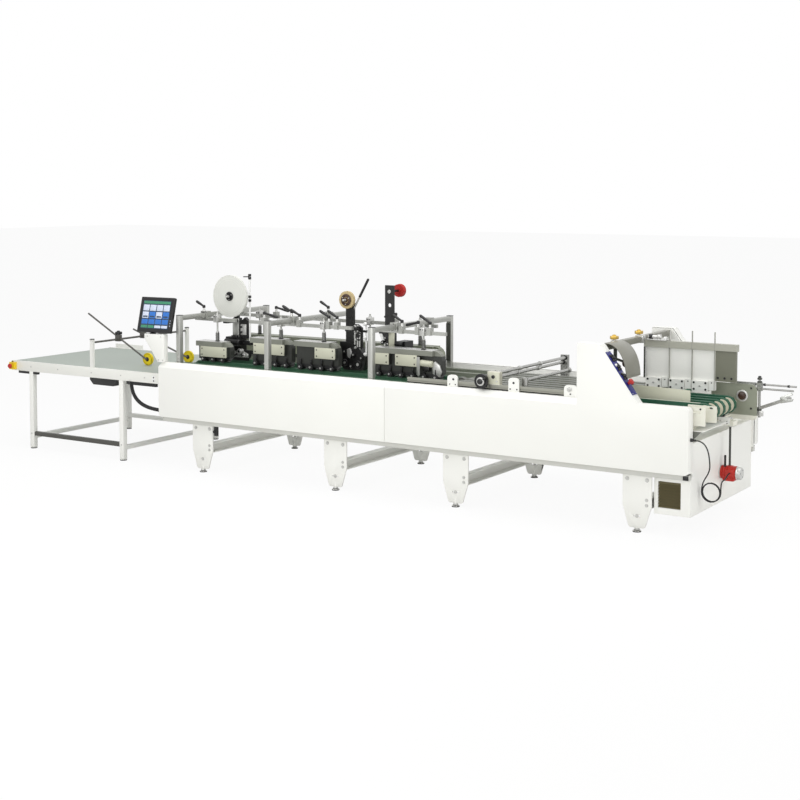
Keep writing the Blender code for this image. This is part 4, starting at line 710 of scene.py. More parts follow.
levers = {
    "radius": 0.0115, "stub": 0.050, "clampTop": 1.4243, "stationTop": 1.3947,
    "near_hold_down_1": [(-2.353, -0.09, 0.045, True)],
    "near_hold_down_2": [(-1.635, 0.15, -0.030, False), (-1.325, -0.10, 0.045, True), (-1.235, -0.10, 0.045, False),
                         (-0.911, -0.10, 0.050, False), (-0.824, -0.10, 0.055, False)],
    "near_hold_down_3": [(-0.143, -0.09, 0.050, False), (0.020, -0.12, -0.030, False), (0.139, -0.10, 0.060, False)],
    "far_hold_down": [(-1.92, 0.15, -0.030, False), (-1.31, -0.09, 0.050, True), (-0.56, -0.12, -0.030, False)],
}
springs = {
    "wire": 0.0032, "coil": 0.0165, "turns": 7, "length": 0.072,
    "near": [(-2.19, 1.145), (-1.445, 1.210), (-0.966, 1.210), (0.075, 1.205)],
    "far": [(-2.12, 1.170), (-0.84, 1.170), (-0.30, 1.170)],
}
gantryX = (-2.33, -1.31, -0.21)


def clampingLever(x, y, reach, rise, onClamp):
    base = levers["clampTop"] if onClamp else levers["stationTop"]
    top = base + levers["stub"]
    put(lathe([(0.013, 0), (0.013, 0.010), (0.0105, 0.014), (0.0105, 0.030)], (x, y, base), (0, 0, 1), 12),
        "levers", "silver")
    put(lathe([(0.0125, 0), (0.0145, 0.004), (0.0150, 0.018), (0.0125, 0.026), (0.006, 0.028)],
              (x, y, top - 0.022), (0, 0, 1), 12), "levers", "blackPlastic")
    start, end = (x, y, top - 0.008), (x + reach, y, top - 0.008 + rise)
    length = (Vector(end) - Vector(start)).length
    radius = levers["radius"]
    grip = [(radius * 0.85, 0), (radius * 0.9, length * 0.35), (radius * 1.15, length * 0.7),
            (radius * 1.1, length * 0.95), (radius * 0.6, length + 0.004)]
    put(lathe(grip, start, Vector(end) - Vector(start), 12), "levers", "blackPlastic")


def springAt(x, y, carrierTop):
    count = springs["turns"] * 10
    points = []
    for k in range(count + 1):
        angle = math.tau * k / 10
        points.append((x + springs["coil"] * math.cos(angle), y + springs["coil"] * math.sin(angle),
                       carrierTop + 0.008 + springs["length"] * k / count))
    put(strand(points, springs["wire"], 6), "springs", "blackPlastic")
    put(lathe([(0.024, 0), (0.024, 0.006), (0.015, 0.010)], (x, y, carrierTop), (0, 0, 1), 16), "springs", "blackPlastic")
    put(lathe([(0.016, 0), (0.016, 0.010)], (x, y, carrierTop + 0.082), (0, 0, 1), 6), "springs", "silver")
    put(lathe([(0.014, 0), (0.014, 0.010), (0.009, 0.012), (0.009, 0.018)], (x, y, levers["stationTop"]), (0, 0, 1), 6),
        "springs", "silver")


for group, rows in levers.items():
    if "hold_down" in group:
        y = farLane if group.startswith("far") else nearLane
        for x, reach, rise, onClamp in rows:
            clampingLever(x, y, reach, rise, onClamp)
for side, y in (("near", nearLane), ("far", farLane)):
    for x, top in springs[side]:
        springAt(x, y, top)
        put(box((x - 0.024, y - 0.033, barTop - 0.040), (x + 0.024, y + 0.033, barTop + 0.0302), 0.003),
            "stations", "silver")
        for dx in (-0.012, 0.012):
            put(screw((x + dx, y - 0.033, barTop + 0.014), (0, -1, 0), 0.006, 0.004), "stations", "blackPlastic")
for x in gantryX:
    for y in (nearLane, farLane):
        for dz in (0.010, -0.012):
            put(screw((x, y - 0.030, 1.400 + dz), (0, -1, 0), 0.006, 0.004), "stations", "blackPlastic")
    for y in (0.128, 1.422):
        put(box((x - 0.0235, y - 0.0235, 1.4098), (x + 0.0235, y + 0.0235, 1.4145), 0.001), "stations", "blackPlastic")
    for z in (0.995, 1.030):
        put(screw((x, 0.1056, z), (0, -1, 0), 0.007, 0.005), "stations", "silver")
print("bars fitted")


# Belt carriers: screws and plates on the boxes, end plates and bright axle ends of the press rollers

carriers = {
    "near_carrier_1": (-2.40, -2.01, 1.100, [(-2.33, -2.03)]),
    "near_carrier_2": (-1.755, -1.305, 1.165, [(-1.70, -1.36)]),
    "near_carrier_3": (-1.255, -0.79, 1.165, [(-1.01, -0.80)]),
    "near_carrier_4": (-0.41, 0.28, 1.160, [(-0.400, -0.235), (-0.160, 0.050)]),
}
rollerPitch = 0.115
boxFace = 0.423

for name, (left, right, shoulder, boxes) in carriers.items():
    for low, high in boxes:
        put(box((low - 0.004, boxFace - 0.003, shoulder - 0.096), (high + 0.004, boxFace + 0.004, shoulder + 0.001), 0.003),
            "carrier_covers", "paleCoat")
        for x in (low + 0.018, high - 0.018):
            for z in (shoulder - 0.020, shoulder - 0.075):
                put(screw((x, boxFace - 0.003, z), (0, -1, 0), 0.006, 0.004), "carrier_screws", "blackPlastic")
    count = int((right - left - 0.052) / rollerPitch) + 1
    first = (left + right - (count - 1) * rollerPitch) / 2
    for k in range(count):
        x = first + k * rollerPitch
        put(lathe([(0.0262, 0), (0.0262, 0.004), (0.022, 0.007), (0.012, 0.007)], (x, 0.4455, 0.9816), (0, -1, 0), 14),
            "carrier_rollers", "blackRubber")
        put(screw((x, 0.4385, 0.9816), (0, -1, 0), 0.009, 0.007), "carrier_rollers", "silver")
        put(box((x - 0.008, 0.452, 0.985), (x + 0.008, 0.462, 1.050), 0.002), "carrier_rollers", "blackPlastic")
    put(box((left - 0.001, nearLane - 0.064, shoulder + 0.044), (right - 0.082, nearLane + 0.064, shoulder + 0.047), 0.001),
        "carrier_caps", "silver")
cylinder = {"start": (0.075, 0.452, 1.098), "end": (0.195, 0.452, 1.092), "radius": 0.028}
put(bar(cylinder["start"], cylinder["end"], cylinder["radius"], 20, 0.006), "carrier_covers", "paleCoat")
put(bar((0.060, 0.452, 1.098), (0.078, 0.452, 1.098), 0.021, 16, 0.003), "carrier_rollers", "silver")
put(box((0.10, 0.440, 1.030), (0.165, 0.465, 1.074), 0.003), "carrier_screws", "blackPlastic")
put(panel([(0.195, 1.010), (0.262, 0.985), (0.279, 1.030), (0.262, 1.085), (0.215, 1.118), (0.190, 1.090)],
          "XZ", 0.452, 0.469, 0.002), "carrier_rollers", "silver")
put(panel([(0.055, 1.150), (0.085, 1.150), (0.085, 1.0), (0.070, 0.985), (0.055, 1.0)], "XZ", 0.418, 0.426, 0.001),
    "carrier_rollers", "drawnRail")
print("carriers fitted")


# Tape reels: each hub turns with its reel

hubs = {
    "tape_reel_1": (-2.155, 0.638, 1.560, 0.043, "blackPlastic", 0.012),
    "tape_reel_2": (-0.820, 0.637, 1.583, 0.053, "brownPlastic", 0.012),
}
for reel, (x, y, z, radius, finish, nub) in hubs.items():
    put(lathe([(radius, 0), (radius, 0.008), (radius * 0.9, 0.011), (radius * 0.55, 0.011), (radius * 0.5, 0.006),
               (0.022, 0.006), (0.020, 0.020), (0.014, 0.022)], (x, y + 0.0005, z), (0, -1, 0), 28), reel, finish)
    for k in range(3):
        angle = math.tau * k / 3 + 0.5
        spot = (x + radius * 0.72 * math.cos(angle), y - 0.010, z + radius * 0.72 * math.sin(angle))
        put(screw(spot, (0, -1, 0), 0.005, 0.003), reel, "silver")
    put(lathe([(nub, 0), (nub, 0.006), (nub * 0.8, 0.012), (nub * 0.8, 0.030), (nub * 0.5, 0.033)],
              (x, y - 0.020, z), (0, -1, 0), 16), reel, "silver")
put(lathe([(0.0585, 0), (0.0585, 0.003), (0.046, 0.003), (0.044, 0.001), (0.027, 0.001)], (-0.365, 0.8225, 1.675), (0, 1, 0), 30),
    "tape_reel_3", "redPlastic")
put(screw((-0.365, 0.6435, 1.675), (0, -1, 0), 0.017, 0.006), "head_3", "silver")
for z in (1.40, 1.46):
    for x in (-0.388, -0.342):
        put(screw((x, 0.6440, z), (0, -1, 0), 0.006, 0.004), "head_3", "blackPlastic")


# Tape head 1: upright, drum, chute and the white threading rod with its eyelets

head1 = {"x": -2.09, "rodX": -1.963, "eyelets": (1.762, 1.735, 1.560, 1.525)}
x = head1["x"]
put(box((x - 0.058, tapeY - 0.030, 1.175), (x + 0.018, tapeY - 0.024, 1.352), 0.002), "head_1", "drawnRail")
for z in (1.19, 1.34):
    put(screw((x - 0.042, tapeY - 0.030, z), (0, -1, 0), 0.006, 0.004), "head_1", "blackPlastic")
    put(screw((x + 0.002, tapeY - 0.030, z), (0, -1, 0), 0.006, 0.004), "head_1", "blackPlastic")
put(bar((x - 0.128, tapeY - 0.052, 1.125), (x + 0.052, tapeY - 0.052, 1.125), 0.034, 24, 0.006), "head_1", "blackPlastic")
put(bar((x - 0.134, tapeY - 0.052, 1.125), (x - 0.127, tapeY - 0.052, 1.125), 0.022, 20, 0.002), "head_1", "silver")
put(box((x - 0.06, tapeY - 0.050, 1.162), (x + 0.01, tapeY - 0.028, 1.192), 0.003), "head_1", "blackPlastic")
for dx, z, radius in ((-0.10, 1.045, 0.024), (-0.03, 1.030, 0.020), (0.04, 1.045, 0.026), (0.09, 1.010, 0.018)):
    put(bar((x + dx, tapeY - 0.060, z), (x + dx, tapeY - 0.012, z), radius, 20, 0.003), "head_1", "silver")
    put(screw((x + dx, tapeY - 0.060, z), (0, -1, 0), radius * 0.45, 0.005), "head_1", "blackPlastic")
put(panel([(x - 0.14, 0.985), (x + 0.12, 0.985), (x + 0.12, 1.02), (x - 0.02, 1.075), (x - 0.14, 1.075)],
          "XZ", tapeY - 0.020, tapeY - 0.0125, 0.002), "head_1", "drawnRail")
put(box((x + 0.040, tapeY - 0.034, 1.20), (x + 0.105, tapeY - 0.0205, 1.30), 0.004), "head_1", "silver")
for z in (1.225, 1.275):
    put(bar((x + 0.05, tapeY - 0.050, z), (x + 0.05, tapeY - 0.030, z), 0.012, 14, 0.002), "head_1", "blackPlastic")
rodX = head1["rodX"]
put(bar((rodX, tapeY, 1.108), (rodX, tapeY, 1.756), 0.0092, 14, 0.002), "head_1", "whitePlastic")
for z in head1["eyelets"]:
    put(lathe([(0.012, 0), (0.015, 0.004), (0.015, 0.020), (0.012, 0.024)], (rodX, tapeY, z - 0.012), (0, 0, 1), 12),
        "head_1", "blackPlastic")
for z, reach in ((1.748, -0.052), (1.560, 0.030)):
    put(bar((rodX, tapeY - 0.004, z), (rodX + reach, tapeY - 0.030, z), 0.005, 10, 0.001), "head_1", "blackPlastic")


# Tape head 2: gear side, uprights and white knobs; the handle has a black grip and a bright lower end

head2 = {"x": -0.76, "knobs": (1.372, 1.250, 1.100), "grip": (0.40, 1.0)}
x = head2["x"]
foot, tip = (x - 0.03, tapeY, 1.485), (x + 0.137, tapeY, 1.775)
put(bar(along(foot, tip, 0.02), along(foot, tip, 0.42), 0.0085, 12), "head_2", "silver")
put(bar(along(foot, tip, 0.42), along(foot, tip, 0.993), 0.0115, 14, 0.003), "head_2", "blackPlastic")
for dx in (0.012, 0.040, 0.062):
    put(bar((x + dx, tapeY - 0.032, 1.14), (x + dx, tapeY - 0.032, 1.36 if dx < 0.05 else 1.30), 0.008, 12, 0.002),
        "head_2", "silver")
for z in (1.16, 1.23, 1.29, 1.345):
    put(box((x - 0.002, tapeY - 0.042, z - 0.007), (x + 0.070, tapeY - 0.016, z + 0.007), 0.003), "head_2", "blackPlastic")
    put(bar((x + 0.028, tapeY - 0.056, z), (x + 0.028, tapeY - 0.040, z), 0.011, 16, 0.002), "head_2", "silver")
knobX = x + 0.112
for z in head2["knobs"]:
    put(dome((knobX, tapeY - 0.010, z), (0, -1, 0), 0.017, 0.024, 18), "head_2", "whitePlastic")
put(bar((knobX, tapeY, 1.08), (knobX, tapeY, 1.354), 0.0086, 12, 0.002), "head_2", "whitePlastic")
for dx, z, radius in ((-0.085, 1.02, 0.030), (-0.02, 0.99, 0.022), (0.055, 1.01, 0.034), (0.005, 1.095, 0.024),
                      (-0.09, 1.12, 0.020), (0.09, 1.07, 0.018)):
    put(lathe([(radius, 0), (radius, 0.014), (radius * 0.9, 0.018), (radius * 0.55, 0.018), (radius * 0.5, 0.012)],
              (x + dx, tapeY - 0.039, z), (0, -1, 0), 24), "head_2", "blackPlastic")
    put(screw((x + dx, tapeY - 0.050, z), (0, -1, 0), radius * 0.4, 0.010), "head_2", "silver")
put(panel([(x - 0.06, 1.14), (x - 0.025, 1.155), (x - 0.005, 1.11), (x - 0.03, 1.06), (x - 0.055, 1.08)],
          "XZ", tapeY - 0.058, tapeY - 0.045, 0.002), "head_2", "silver")
for z in (1.24, 1.42, 1.53):
    put(screw((x - 0.057, tapeY - 0.0120, z), (0, -1, 0), 0.008, 0.004), "head_2", "blackPlastic")


# Tape head 3: bright wedge, sensor block and rollers

x = -0.365
put(panel([(x - 0.136, 1.326), (x - 0.062, 1.190), (x - 0.040, 1.190), (x - 0.105, 1.326)], "XZ",
          tapeY - 0.040, tapeY - 0.0305, 0.001), "head_3", "whitePlastic")
put(box((x + 0.004, tapeY - 0.078, 1.192), (x + 0.062, tapeY - 0.0655, 1.330), 0.003), "head_3", "paleCoat")
put(box((x + 0.082, tapeY - 0.092, 1.207), (x + 0.150, tapeY - 0.066, 1.243), 0.004), "head_3", "blackPlastic")
for dx, z in ((-0.075, 1.225), (-0.02, 1.215), (-0.045, 1.265)):
    put(bar((x + dx, tapeY - 0.058, z), (x + dx, tapeY - 0.030, z), 0.018, 18, 0.002), "head_3", "blackPlastic")
    put(screw((x + dx, tapeY - 0.058, z), (0, -1, 0), 0.007, 0.004), "head_3", "silver")
print("tape heads fitted")


# Middle: plates with black screws, handwheel trim, counter and shaft ends

plates = {"face": 0.0723, "screws": ((0.620, 1.040, 0.009), (0.586, 0.998, 0.005), (0.640, 0.998, 0.005),
                                     (1.170, 1.050, 0.009), (1.140, 1.000, 0.006), (1.200, 1.000, 0.006),
                                     (1.664, 1.000, 0.006))}
for x, z, radius in plates["screws"]:
    put(screw((x, plates["face"], z), (0, -1, 0), radius, 0.004), "plates", "blackPlastic")
put(lathe([(0.020, 0), (0.020, 0.010), (0.012, 0.014), (0.012, 0.022)], (1.655, plates["face"], 1.035), (0, -1, 0), 6),
    "plates", "silver")
wheelAt = (0.900, 0.042, 1.048)
put(lathe([(0.056, 0), (0.060, 0.002), (0.060, 0.006), (0.047, 0.006), (0.047, 0.001)],
          (wheelAt[0], wheelAt[1] - 0.0088, wheelAt[2]), (0, -1, 0), 36), "handwheel", "blackPlastic")
put(lathe([(0.034, 0), (0.034, 0.010), (0.030, 0.012), (0.024, 0.012)], (wheelAt[0], wheelAt[1] - 0.0170, wheelAt[2]), (0, -1, 0), 30),
    "handwheel", "silver")
put(lathe([(0.022, 0), (0.022, 0.012), (0.012, 0.016)], (wheelAt[0], wheelAt[1] - 0.0285, wheelAt[2]), (0, -1, 0), 24),
    "handwheel", "blackPlastic")
put(lathe([(0.010, 0), (0.012, 0.006), (0.011, 0.028), (0.006, 0.032)],
          (wheelAt[0] + 0.040, wheelAt[1] - 0.0140, wheelAt[2] + 0.024), (0, -1, 0), 14), "handwheel", "blackPlastic")
put(box((0.935, 0.0765, 1.026), (1.038, 0.081, 1.118), 0.002), "counter", "paleCoat")
put(lathe([(0.014, 0), (0.014, 0.010), (0.010, 0.014)], (0.986, 0.0765, 1.085), (0, -1, 0), 18), "counter", "blackPlastic")
put(lathe([(0.007, 0), (0.007, 0.006)], (1.018, 0.0765, 1.050), (0, -1, 0), 12), "counter", "silver")
for x, z in ((0.965, 1.103), (0.945, 1.063), (1.240, 1.067)):
    put(lathe([(0.022, 0), (0.022, 0.016), (0.019, 0.018)], (x, 0.1405, z), (0, 1, 0), 18), "shaft_collars", "silver")
    put(screw((x, 0.1495, z + 0.021), (0, 0, 1), 0.005, 0.004), "shaft_collars", "blackPlastic")
for x, z in ((0.965, 1.103), (0.945, 1.063)):
    put(lathe([(0.021, 0), (0.021, 0.020)], (x, 1.404, z), (0, 1, 0), 18), "shaft_collars", "blackPlastic")
    for y in (0.55, 0.92):
        put(lathe([(0.019, 0), (0.020, 0.002), (0.020, 0.022), (0.019, 0.024)], (x, y, z), (0, 1, 0), 18), "shaft_collars", "silver")
print("middle fitted")


# Legs: bolts to the base rail, the channel's screws, the slot's screw and the levelling nuts

legs = {"places": (-2.02, -0.55, 0.64, 2.22), "faces": ((0.0750, -1), (1.4750, 1)), "pad": 0.081}
for x in legs["places"]:
    for y, way in legs["faces"]:
        for dx, z, radius in ((-0.080, 0.400, 0.011), (0.080, 0.400, 0.011), (0.000, 0.121, 0.010),
                              (0.078, 0.208, 0.009), (0.078, 0.248, 0.009)):
            put(lathe([(radius * 1.5, 0), (radius * 1.5, 0.002)], (x + dx, y, z), (0, way, 0), 18), "leg_bolts", "silver")
            put(screw((x + dx, y + way * 0.002, z), (0, way, 0), radius, 0.007), "leg_bolts", "silver")
        pad = legs["pad"] if way < 0 else 1.55 - legs["pad"]
        put(lathe([(0.019, 0), (0.020, 0.002), (0.020, 0.012), (0.019, 0.014)], (x, pad, 0.0155), (0, 0, 1), 6),
            "leg_nuts", "silver")
        put(lathe([(0.0325, 0), (0.0325, 0.006), (0.030, 0.009), (0.018, 0.0145)], (x, pad, 0.0005), (0, 0, 1), 24),
            "leg_nuts", "blackRubber")
print("legs fitted")


# Operator's screen: a generic layout of tiles behind the bezel

screen = {"centre": (-2.565, 0.082, 1.405), "turn": 5, "tilt": -15, "glass": -0.0169, "half": (0.157, 0.132)}
screenPlace = Matrix.Translation(screen["centre"]) @ Matrix.Rotation(math.radians(screen["turn"]), 4, "Z")
screenPlace = screenPlace @ Matrix.Rotation(math.radians(screen["tilt"]), 4, "X")


def tile(low, high, finish, proud=0.0008):
    made = box((low[0], screen["glass"] - 0.0012 - proud, low[1]), (high[0], screen["glass"] - 0.0010, high[1]), 0.0003)
    made.data.transform(screenPlace)
    put(made, "screen", finish)


wide, tall = screen["half"]
tile((-wide, -tall), (wide, tall), "screenDark", 0.0004)
tile((-wide + 0.006, tall - 0.030), (wide - 0.006, tall - 0.006), "screenGreen")
for column in range(4):
    left = -wide + 0.008 + column * 0.0765
    tile((left, 0.036), (left + 0.068, 0.092), "screenPale")
    tile((left, -0.034), (left + 0.068, 0.026), "screenBlue" if column % 2 else "screenPale")
    tile((left + 0.008, -0.026), (left + 0.060, -0.012), "screenDark", 0.0012)
    tile((left, -0.088), (left + 0.068, -0.044), "screenBlue")
    tile((left, -0.124), (left + 0.068, -0.100), "screenGreen" if column < 2 else "screenPale")
for k in range(3):
    spot = screenPlace @ Vector((0.176, -0.0195, -0.10 + k * 0.024))
    put(lathe([(0.004, 0), (0.004, 0.0015)], spot, screenPlace.to_3x3() @ Vector((0, -1, 0)), 12), "screen", "screenPale")
put(lathe([(0.030, 0), (0.030, 0.005), (0.020, 0.009)], (-2.581, 0.042, 1.2356), (0, 0, 1), 24), "screen", "blackPlastic")
for x in (-2.62, -2.46):
    put(screw((x, 0.012, 1.215), (0, -1, 0), 0.006, 0.004), "pedestal_screws", "silver")
for x in (-2.488, -2.435):
    put(screw((x, 0.012, 1.000), (0, -1, 0), 0.006, 0.004), "pedestal_screws", "silver")


# Control panel on the sloping end of the near hump

console = {"foot": (2.25, 0.98), "head": (1.94, 1.41), "depth": (0.003, 0.083), "span": (0.075, 0.455), "sheet": 0.0065}
slope = Vector((console["head"][0] - console["foot"][0], 0, console["head"][1] - console["foot"][1])).normalized()
outward = Vector((slope.z, 0, -slope.x))


def onConsole(distance, y, out):
    return Vector((console["foot"][0], y, console["foot"][1])) + slope * distance + outward * out


outline = []
for distance, out in ((console["span"][0], 0.0003), (console["span"][1], 0.0003),
                      (console["span"][1], console["sheet"]), (console["span"][0], console["sheet"])):
    spot = onConsole(distance, 0, out)
    outline.append((spot.x, spot.z))
plateBlue = put(panel(outline, "XZ", *console["depth"], 0.0012), "console", "bluePanel")
for row in range(6):
    distance = 0.215 + row * 0.040
    for y, finish in ((0.026, "whitePlastic" if row == 3 else "blackPlastic"), (0.058, "silver" if row == 1 else "blackPlastic")):
        put(lathe([(0.0115, 0), (0.0115, 0.003), (0.0085, 0.004), (0.0085, 0.010), (0.006, 0.012)],
                  onConsole(distance, y, console["sheet"]), outward, 16), "console", finish)
for distance in (0.235, 0.315, 0.395):
    put(lathe([(0.015, 0), (0.015, 0.006), (0.012, 0.020), (0.009, 0.022)], onConsole(distance, 0.042, console["sheet"]),
              outward, 18), "console", "blackPlastic")
put(lathe([(0.012, 0), (0.012, 0.014), (0.024, 0.020), (0.025, 0.030), (0.020, 0.037), (0.010, 0.040)],
          onConsole(0.17, 0.043, console["sheet"] + 0.003), outward, 24), "console", "redPlastic")
for distance in (console["span"][0] + 0.010, console["span"][1] - 0.010):
    for y in (0.012, 0.074):
        put(screw(onConsole(distance, y, console["sheet"]), outward, 0.004, 0.002), "console", "silver")
print("panels fitted")


# Feeder gate: cross beam, one curved sheet at the near end and two brass star knobs

gate = {"x": 1.90, "z": (1.345, 1.395), "half": 0.025, "centre": (1.930, 1.140), "radii": (0.165, 0.262), "arc": 105,
        "sheet": 0.006, "y": (0.150, 0.415), "knobs": (0.385, 0.864)}
put(box((gate["x"] - gate["half"], 0.1056, gate["z"][0]), (gate["x"] + gate["half"], 1.4444, gate["z"][1]), 0.004),
    "feeder_gate", "gateCoat")
outline = []
for skin, order in ((0.0, range(17)), (gate["sheet"], reversed(range(17)))):
    for k in order:
        angle = math.radians(gate["arc"] * k / 16)
        outline.append((gate["centre"][0] + (gate["radii"][0] - skin) * math.cos(angle),
                        gate["centre"][1] + (gate["radii"][1] - skin) * math.sin(angle)))
put(panel(outline, "XZ", *gate["y"], 0.001), "feeder_gate", "gateCoat")


def starKnob(x, y, z, finish):
    put(bar((x, y, z - 0.002), (x, y, z + 0.014), 0.012, 14, 0.002), "star_knobs", "silver")
    outline = [((0.038 if k % 2 else 0.029) * math.cos(math.tau * k / 10) + x,
                (0.038 if k % 2 else 0.029) * math.sin(math.tau * k / 10) + y) for k in range(10)]
    put(panel(outline, "XY", z + 0.008, z + 0.034, 0.005), "star_knobs", finish)
    put(dome((x, y, z + 0.033), (0, 0, 1), 0.016, 0.012), "star_knobs", finish)


for y in gate["knobs"]:
    put(box((gate["x"] - 0.034, y - 0.030, gate["z"][0] - 0.006), (gate["x"] + 0.034, y + 0.030, gate["z"][1] + 0.006), 0.004),
        "star_knobs", "silver")
    starKnob(gate["x"] - 0.015, y, gate["z"][1] + 0.006, "brass")
put(bar((2.005, 0.330, 1.232), (2.005, 0.392, 1.232), 0.030, 20, 0.005), "feeder_gate", "brownPlastic")
put(bar((1.905, 0.362, 1.262), (2.003, 0.362, 1.236), 0.010, 12), "feeder_gate", "darkCoat")
put(box((1.895, 0.348, 1.240), (1.917, 0.376, 1.3455), 0.003), "feeder_gate", "darkCoat")


# Side guide: screws of the blocks and of the end plate, and the adjuster on the beam

guide = {"front": 0.872, "blocks": (2.010, 2.205, 2.400), "z": (0.999, 1.051), "spread": 0.048}
for x in guide["blocks"]:
    for z in guide["z"]:
        for dx in (-guide["spread"], guide["spread"]):
            put(screw((x + dx, guide["front"], z), (0, -1, 0), 0.0085, 0.004), "guide_screws", "blackPlastic")
    put(screw((x, guide["front"], 1.025), (0, -1, 0), 0.009, 0.003), "guide_screws", "silver")
    put(screw((x + 0.095, 0.880, 1.055), (0, -1, 0), 0.005, 0.003), "guide_screws", "blackPlastic")
for x in (2.545, 2.600, 2.655):
    put(screw((x, 0.884, 1.098), (0, -1, 0), 0.009, 0.005), "guide_screws", "blackPlastic")
# A thin dark strip at the left end of the guide's front: painted shade for the dark gap there.
put(box((1.9265, 0.868, 1.060), (1.9345, 0.8935, 1.3095), 0.002), "feeder_gate", "darkCoat")
put(box((1.950, 0.856, 1.3653), (2.120, 0.944, 1.3750), 0.003), "guide_adjuster", "silver")
put(bar((1.965, 0.880, 1.392), (2.075, 0.880, 1.392), 0.014, 16, 0.003), "guide_adjuster", "silver")
for x, finish in ((1.985, "blackPlastic"), (2.055, "silver")):
    put(box((x - 0.014, 0.862, 1.3748), (x + 0.014, 0.898, 1.412), 0.004), "guide_adjuster", finish)
put(dome((2.100, 0.900, 1.3748), (0, 0, 1), 0.016, 0.020), "guide_adjuster", "whitePlastic")
put(panel([(1.930, 0.9553), (2.500, 0.9553), (2.500, 1.050), (2.060, 1.062), (1.930, 1.040)], "XZ", 0.4185, 0.4215, 0.0008),
    "guide_sheet", "paleCoat")


# Feeder's end: bearings, shelf, bracket block and the nuts and fork of the pile support

put(lathe([(0.046, 0), (0.046, 0.006), (0.036, 0.010), (0.030, 0.006), (0.018, 0.006)], (2.704, 0.9995, 0.957), (0, -1, 0), 28),
    "feeder_end", "silver")
put(lathe([(0.030, 0), (0.030, 0.012), (0.020, 0.016)], (2.704, 0.994, 0.957), (0, -1, 0), 24), "feeder_end", "brownPlastic")
for x, z in ((2.775, 1.020), (2.775, 0.860), (2.600, 0.860)):
    put(screw((x, 0.9997, z), (0, -1, 0), 0.008, 0.005), "feeder_end", "blackPlastic")
put(panel([(2.612, 0.7955), (2.612, 0.700), (2.705, 0.7955)], "XZ", 0.112, 0.118, 0.001), "feeder_end", "greyCoat")
put(box((2.6105, 0.108, 0.7957), (2.722, 0.640, 0.8010), 0.001), "feeder_end", "whiteCoat")
put(box((2.618, 0.6995, 0.766), (2.712, 0.7115, 0.824), 0.002), "feeder_end", "whiteCoat")
put(box((2.622, 0.7020, 0.8235), (2.664, 0.7400, 0.856), 0.004), "feeder_end", "blackPlastic")
for x in (2.636, 2.688):
    put(screw((x, 0.6995, 0.785), (0, -1, 0), 0.010, 0.003), "feeder_end", "blackPlastic")
put(lathe([(0.017, 0), (0.017, 0.012), (0.013, 0.014)], (2.700, 0.745, 0.8102), (0, 0, 1), 6), "feeder_end", "silver")
put(lathe([(0.017, 0), (0.017, 0.012), (0.013, 0.014)], (2.700, 0.745, 0.7598), (0, 0, -1), 6), "feeder_end", "silver")
for x, y, z in ((2.630, 0.1205, 0.915), (2.700, 0.1205, 0.965), (2.640, 0.2150, 0.905), (2.745, 0.2150, 0.965)):
    put(screw((x, y - 0.0152, z), (0, -1, 0), 0.007, 0.004), "feeder_end", "blackPlastic")
postX, postY = 2.830, 1.0363
for z in (0.845, 1.000, 1.062, 1.088):
    put(lathe([(0.018, 0), (0.019, 0.002), (0.019, 0.012), (0.018, 0.014)], (postX, postY, z), (0, 0, 1), 6),
        "feeder_end", "darkCoat")
put(dome((postX, postY, 1.1048), (0, 0, 1), 0.013, 0.012), "feeder_end", "blackPlastic")
put(box((2.770, 1.028, 0.800), (2.862, 1.0438, 0.842), 0.005), "feeder_end", "silver")
fork = {"foot": (3.012, 0.948), "tip": (3.075, 0.973), "half": 0.024, "y": (1.0250, 1.0500)}
put(panel([(3.000, 0.915), (3.090, 0.935), (3.098, 0.955), (3.050, 0.950), (3.046, 0.966), (3.094, 0.985), (3.082, 1.003),
           (2.995, 0.962)], "XZ", 1.0248, 1.0480, 0.003), "feeder_end", "drawnRail")
for x in (2.86, 3.05):
    put(lathe([(0.0105, 0), (0.0105, 0.016)], (x, 1.0423, 1.050), (1, 0, 0), 14), "feeder_end", "blackPlastic")


# Vibrator: finned red body, silver end caps, terminal box and a stop pin

motor = {"x": 2.700, "y": 0.745, "z": 0.390, "radius": 0.054, "half": 0.062, "cap": 0.036}
x, y, z, radius = motor["x"], motor["y"], motor["z"], motor["radius"]
profile = [(radius * 0.93, 0)]
finCount = 6
finPitch = 2 * motor["half"] / finCount
for k in range(finCount):
    profile += [(radius, k * finPitch + 0.004), (radius, (k + 0.7) * finPitch), (radius * 0.93, (k + 0.78) * finPitch),
                (radius * 0.93, (k + 0.98) * finPitch)]
put(lathe(profile, (x - motor["half"], y, z), (1, 0, 0), 28), "vibrator", "redCoat")
for way in (-1, 1):
    put(lathe([(radius * 0.98, 0), (radius * 0.98, 0.006), (radius * 0.90, 0.010), (radius * 0.90, 0.028),
               (radius * 0.80, motor["cap"]), (radius * 0.30, motor["cap"])], (x + way * motor["half"], y, z), (way, 0, 0), 28),
        "vibrator", "silver")
    for k in range(3):
        angle = math.tau * k / 3 + 0.9
        spot = (x + way * (motor["half"] + motor["cap"] - 0.002), y + radius * 0.55 * math.cos(angle),
                z + radius * 0.55 * math.sin(angle))
        put(screw(spot, (way, 0, 0), 0.005, 0.003), "vibrator", "blackPlastic")
put(box((x - 0.020, 0.6905, z - 0.028), (x + 0.052, y - 0.02, z + 0.030), 0.006), "vibrator", "redCoat")
put(box((x - 0.045, y - 0.038, z - 0.062), (x + 0.045, y + 0.038, z - 0.030), 0.004), "vibrator", "redCoat")
put(box((x - 0.024, y - 0.024, z + 0.030), (x + 0.024, y + 0.024, z + 0.0545), 0.004), "vibrator", "redCoat")
put(bar((x - 0.030, y - 0.020, z + 0.036), (x - 0.030, y - 0.020, z + 0.136), 0.0085, 14, 0.003), "vibrator", "blackPlastic")
print("feeder fitted")


# Conduit: a ribbed hose from the table's rail into the cover

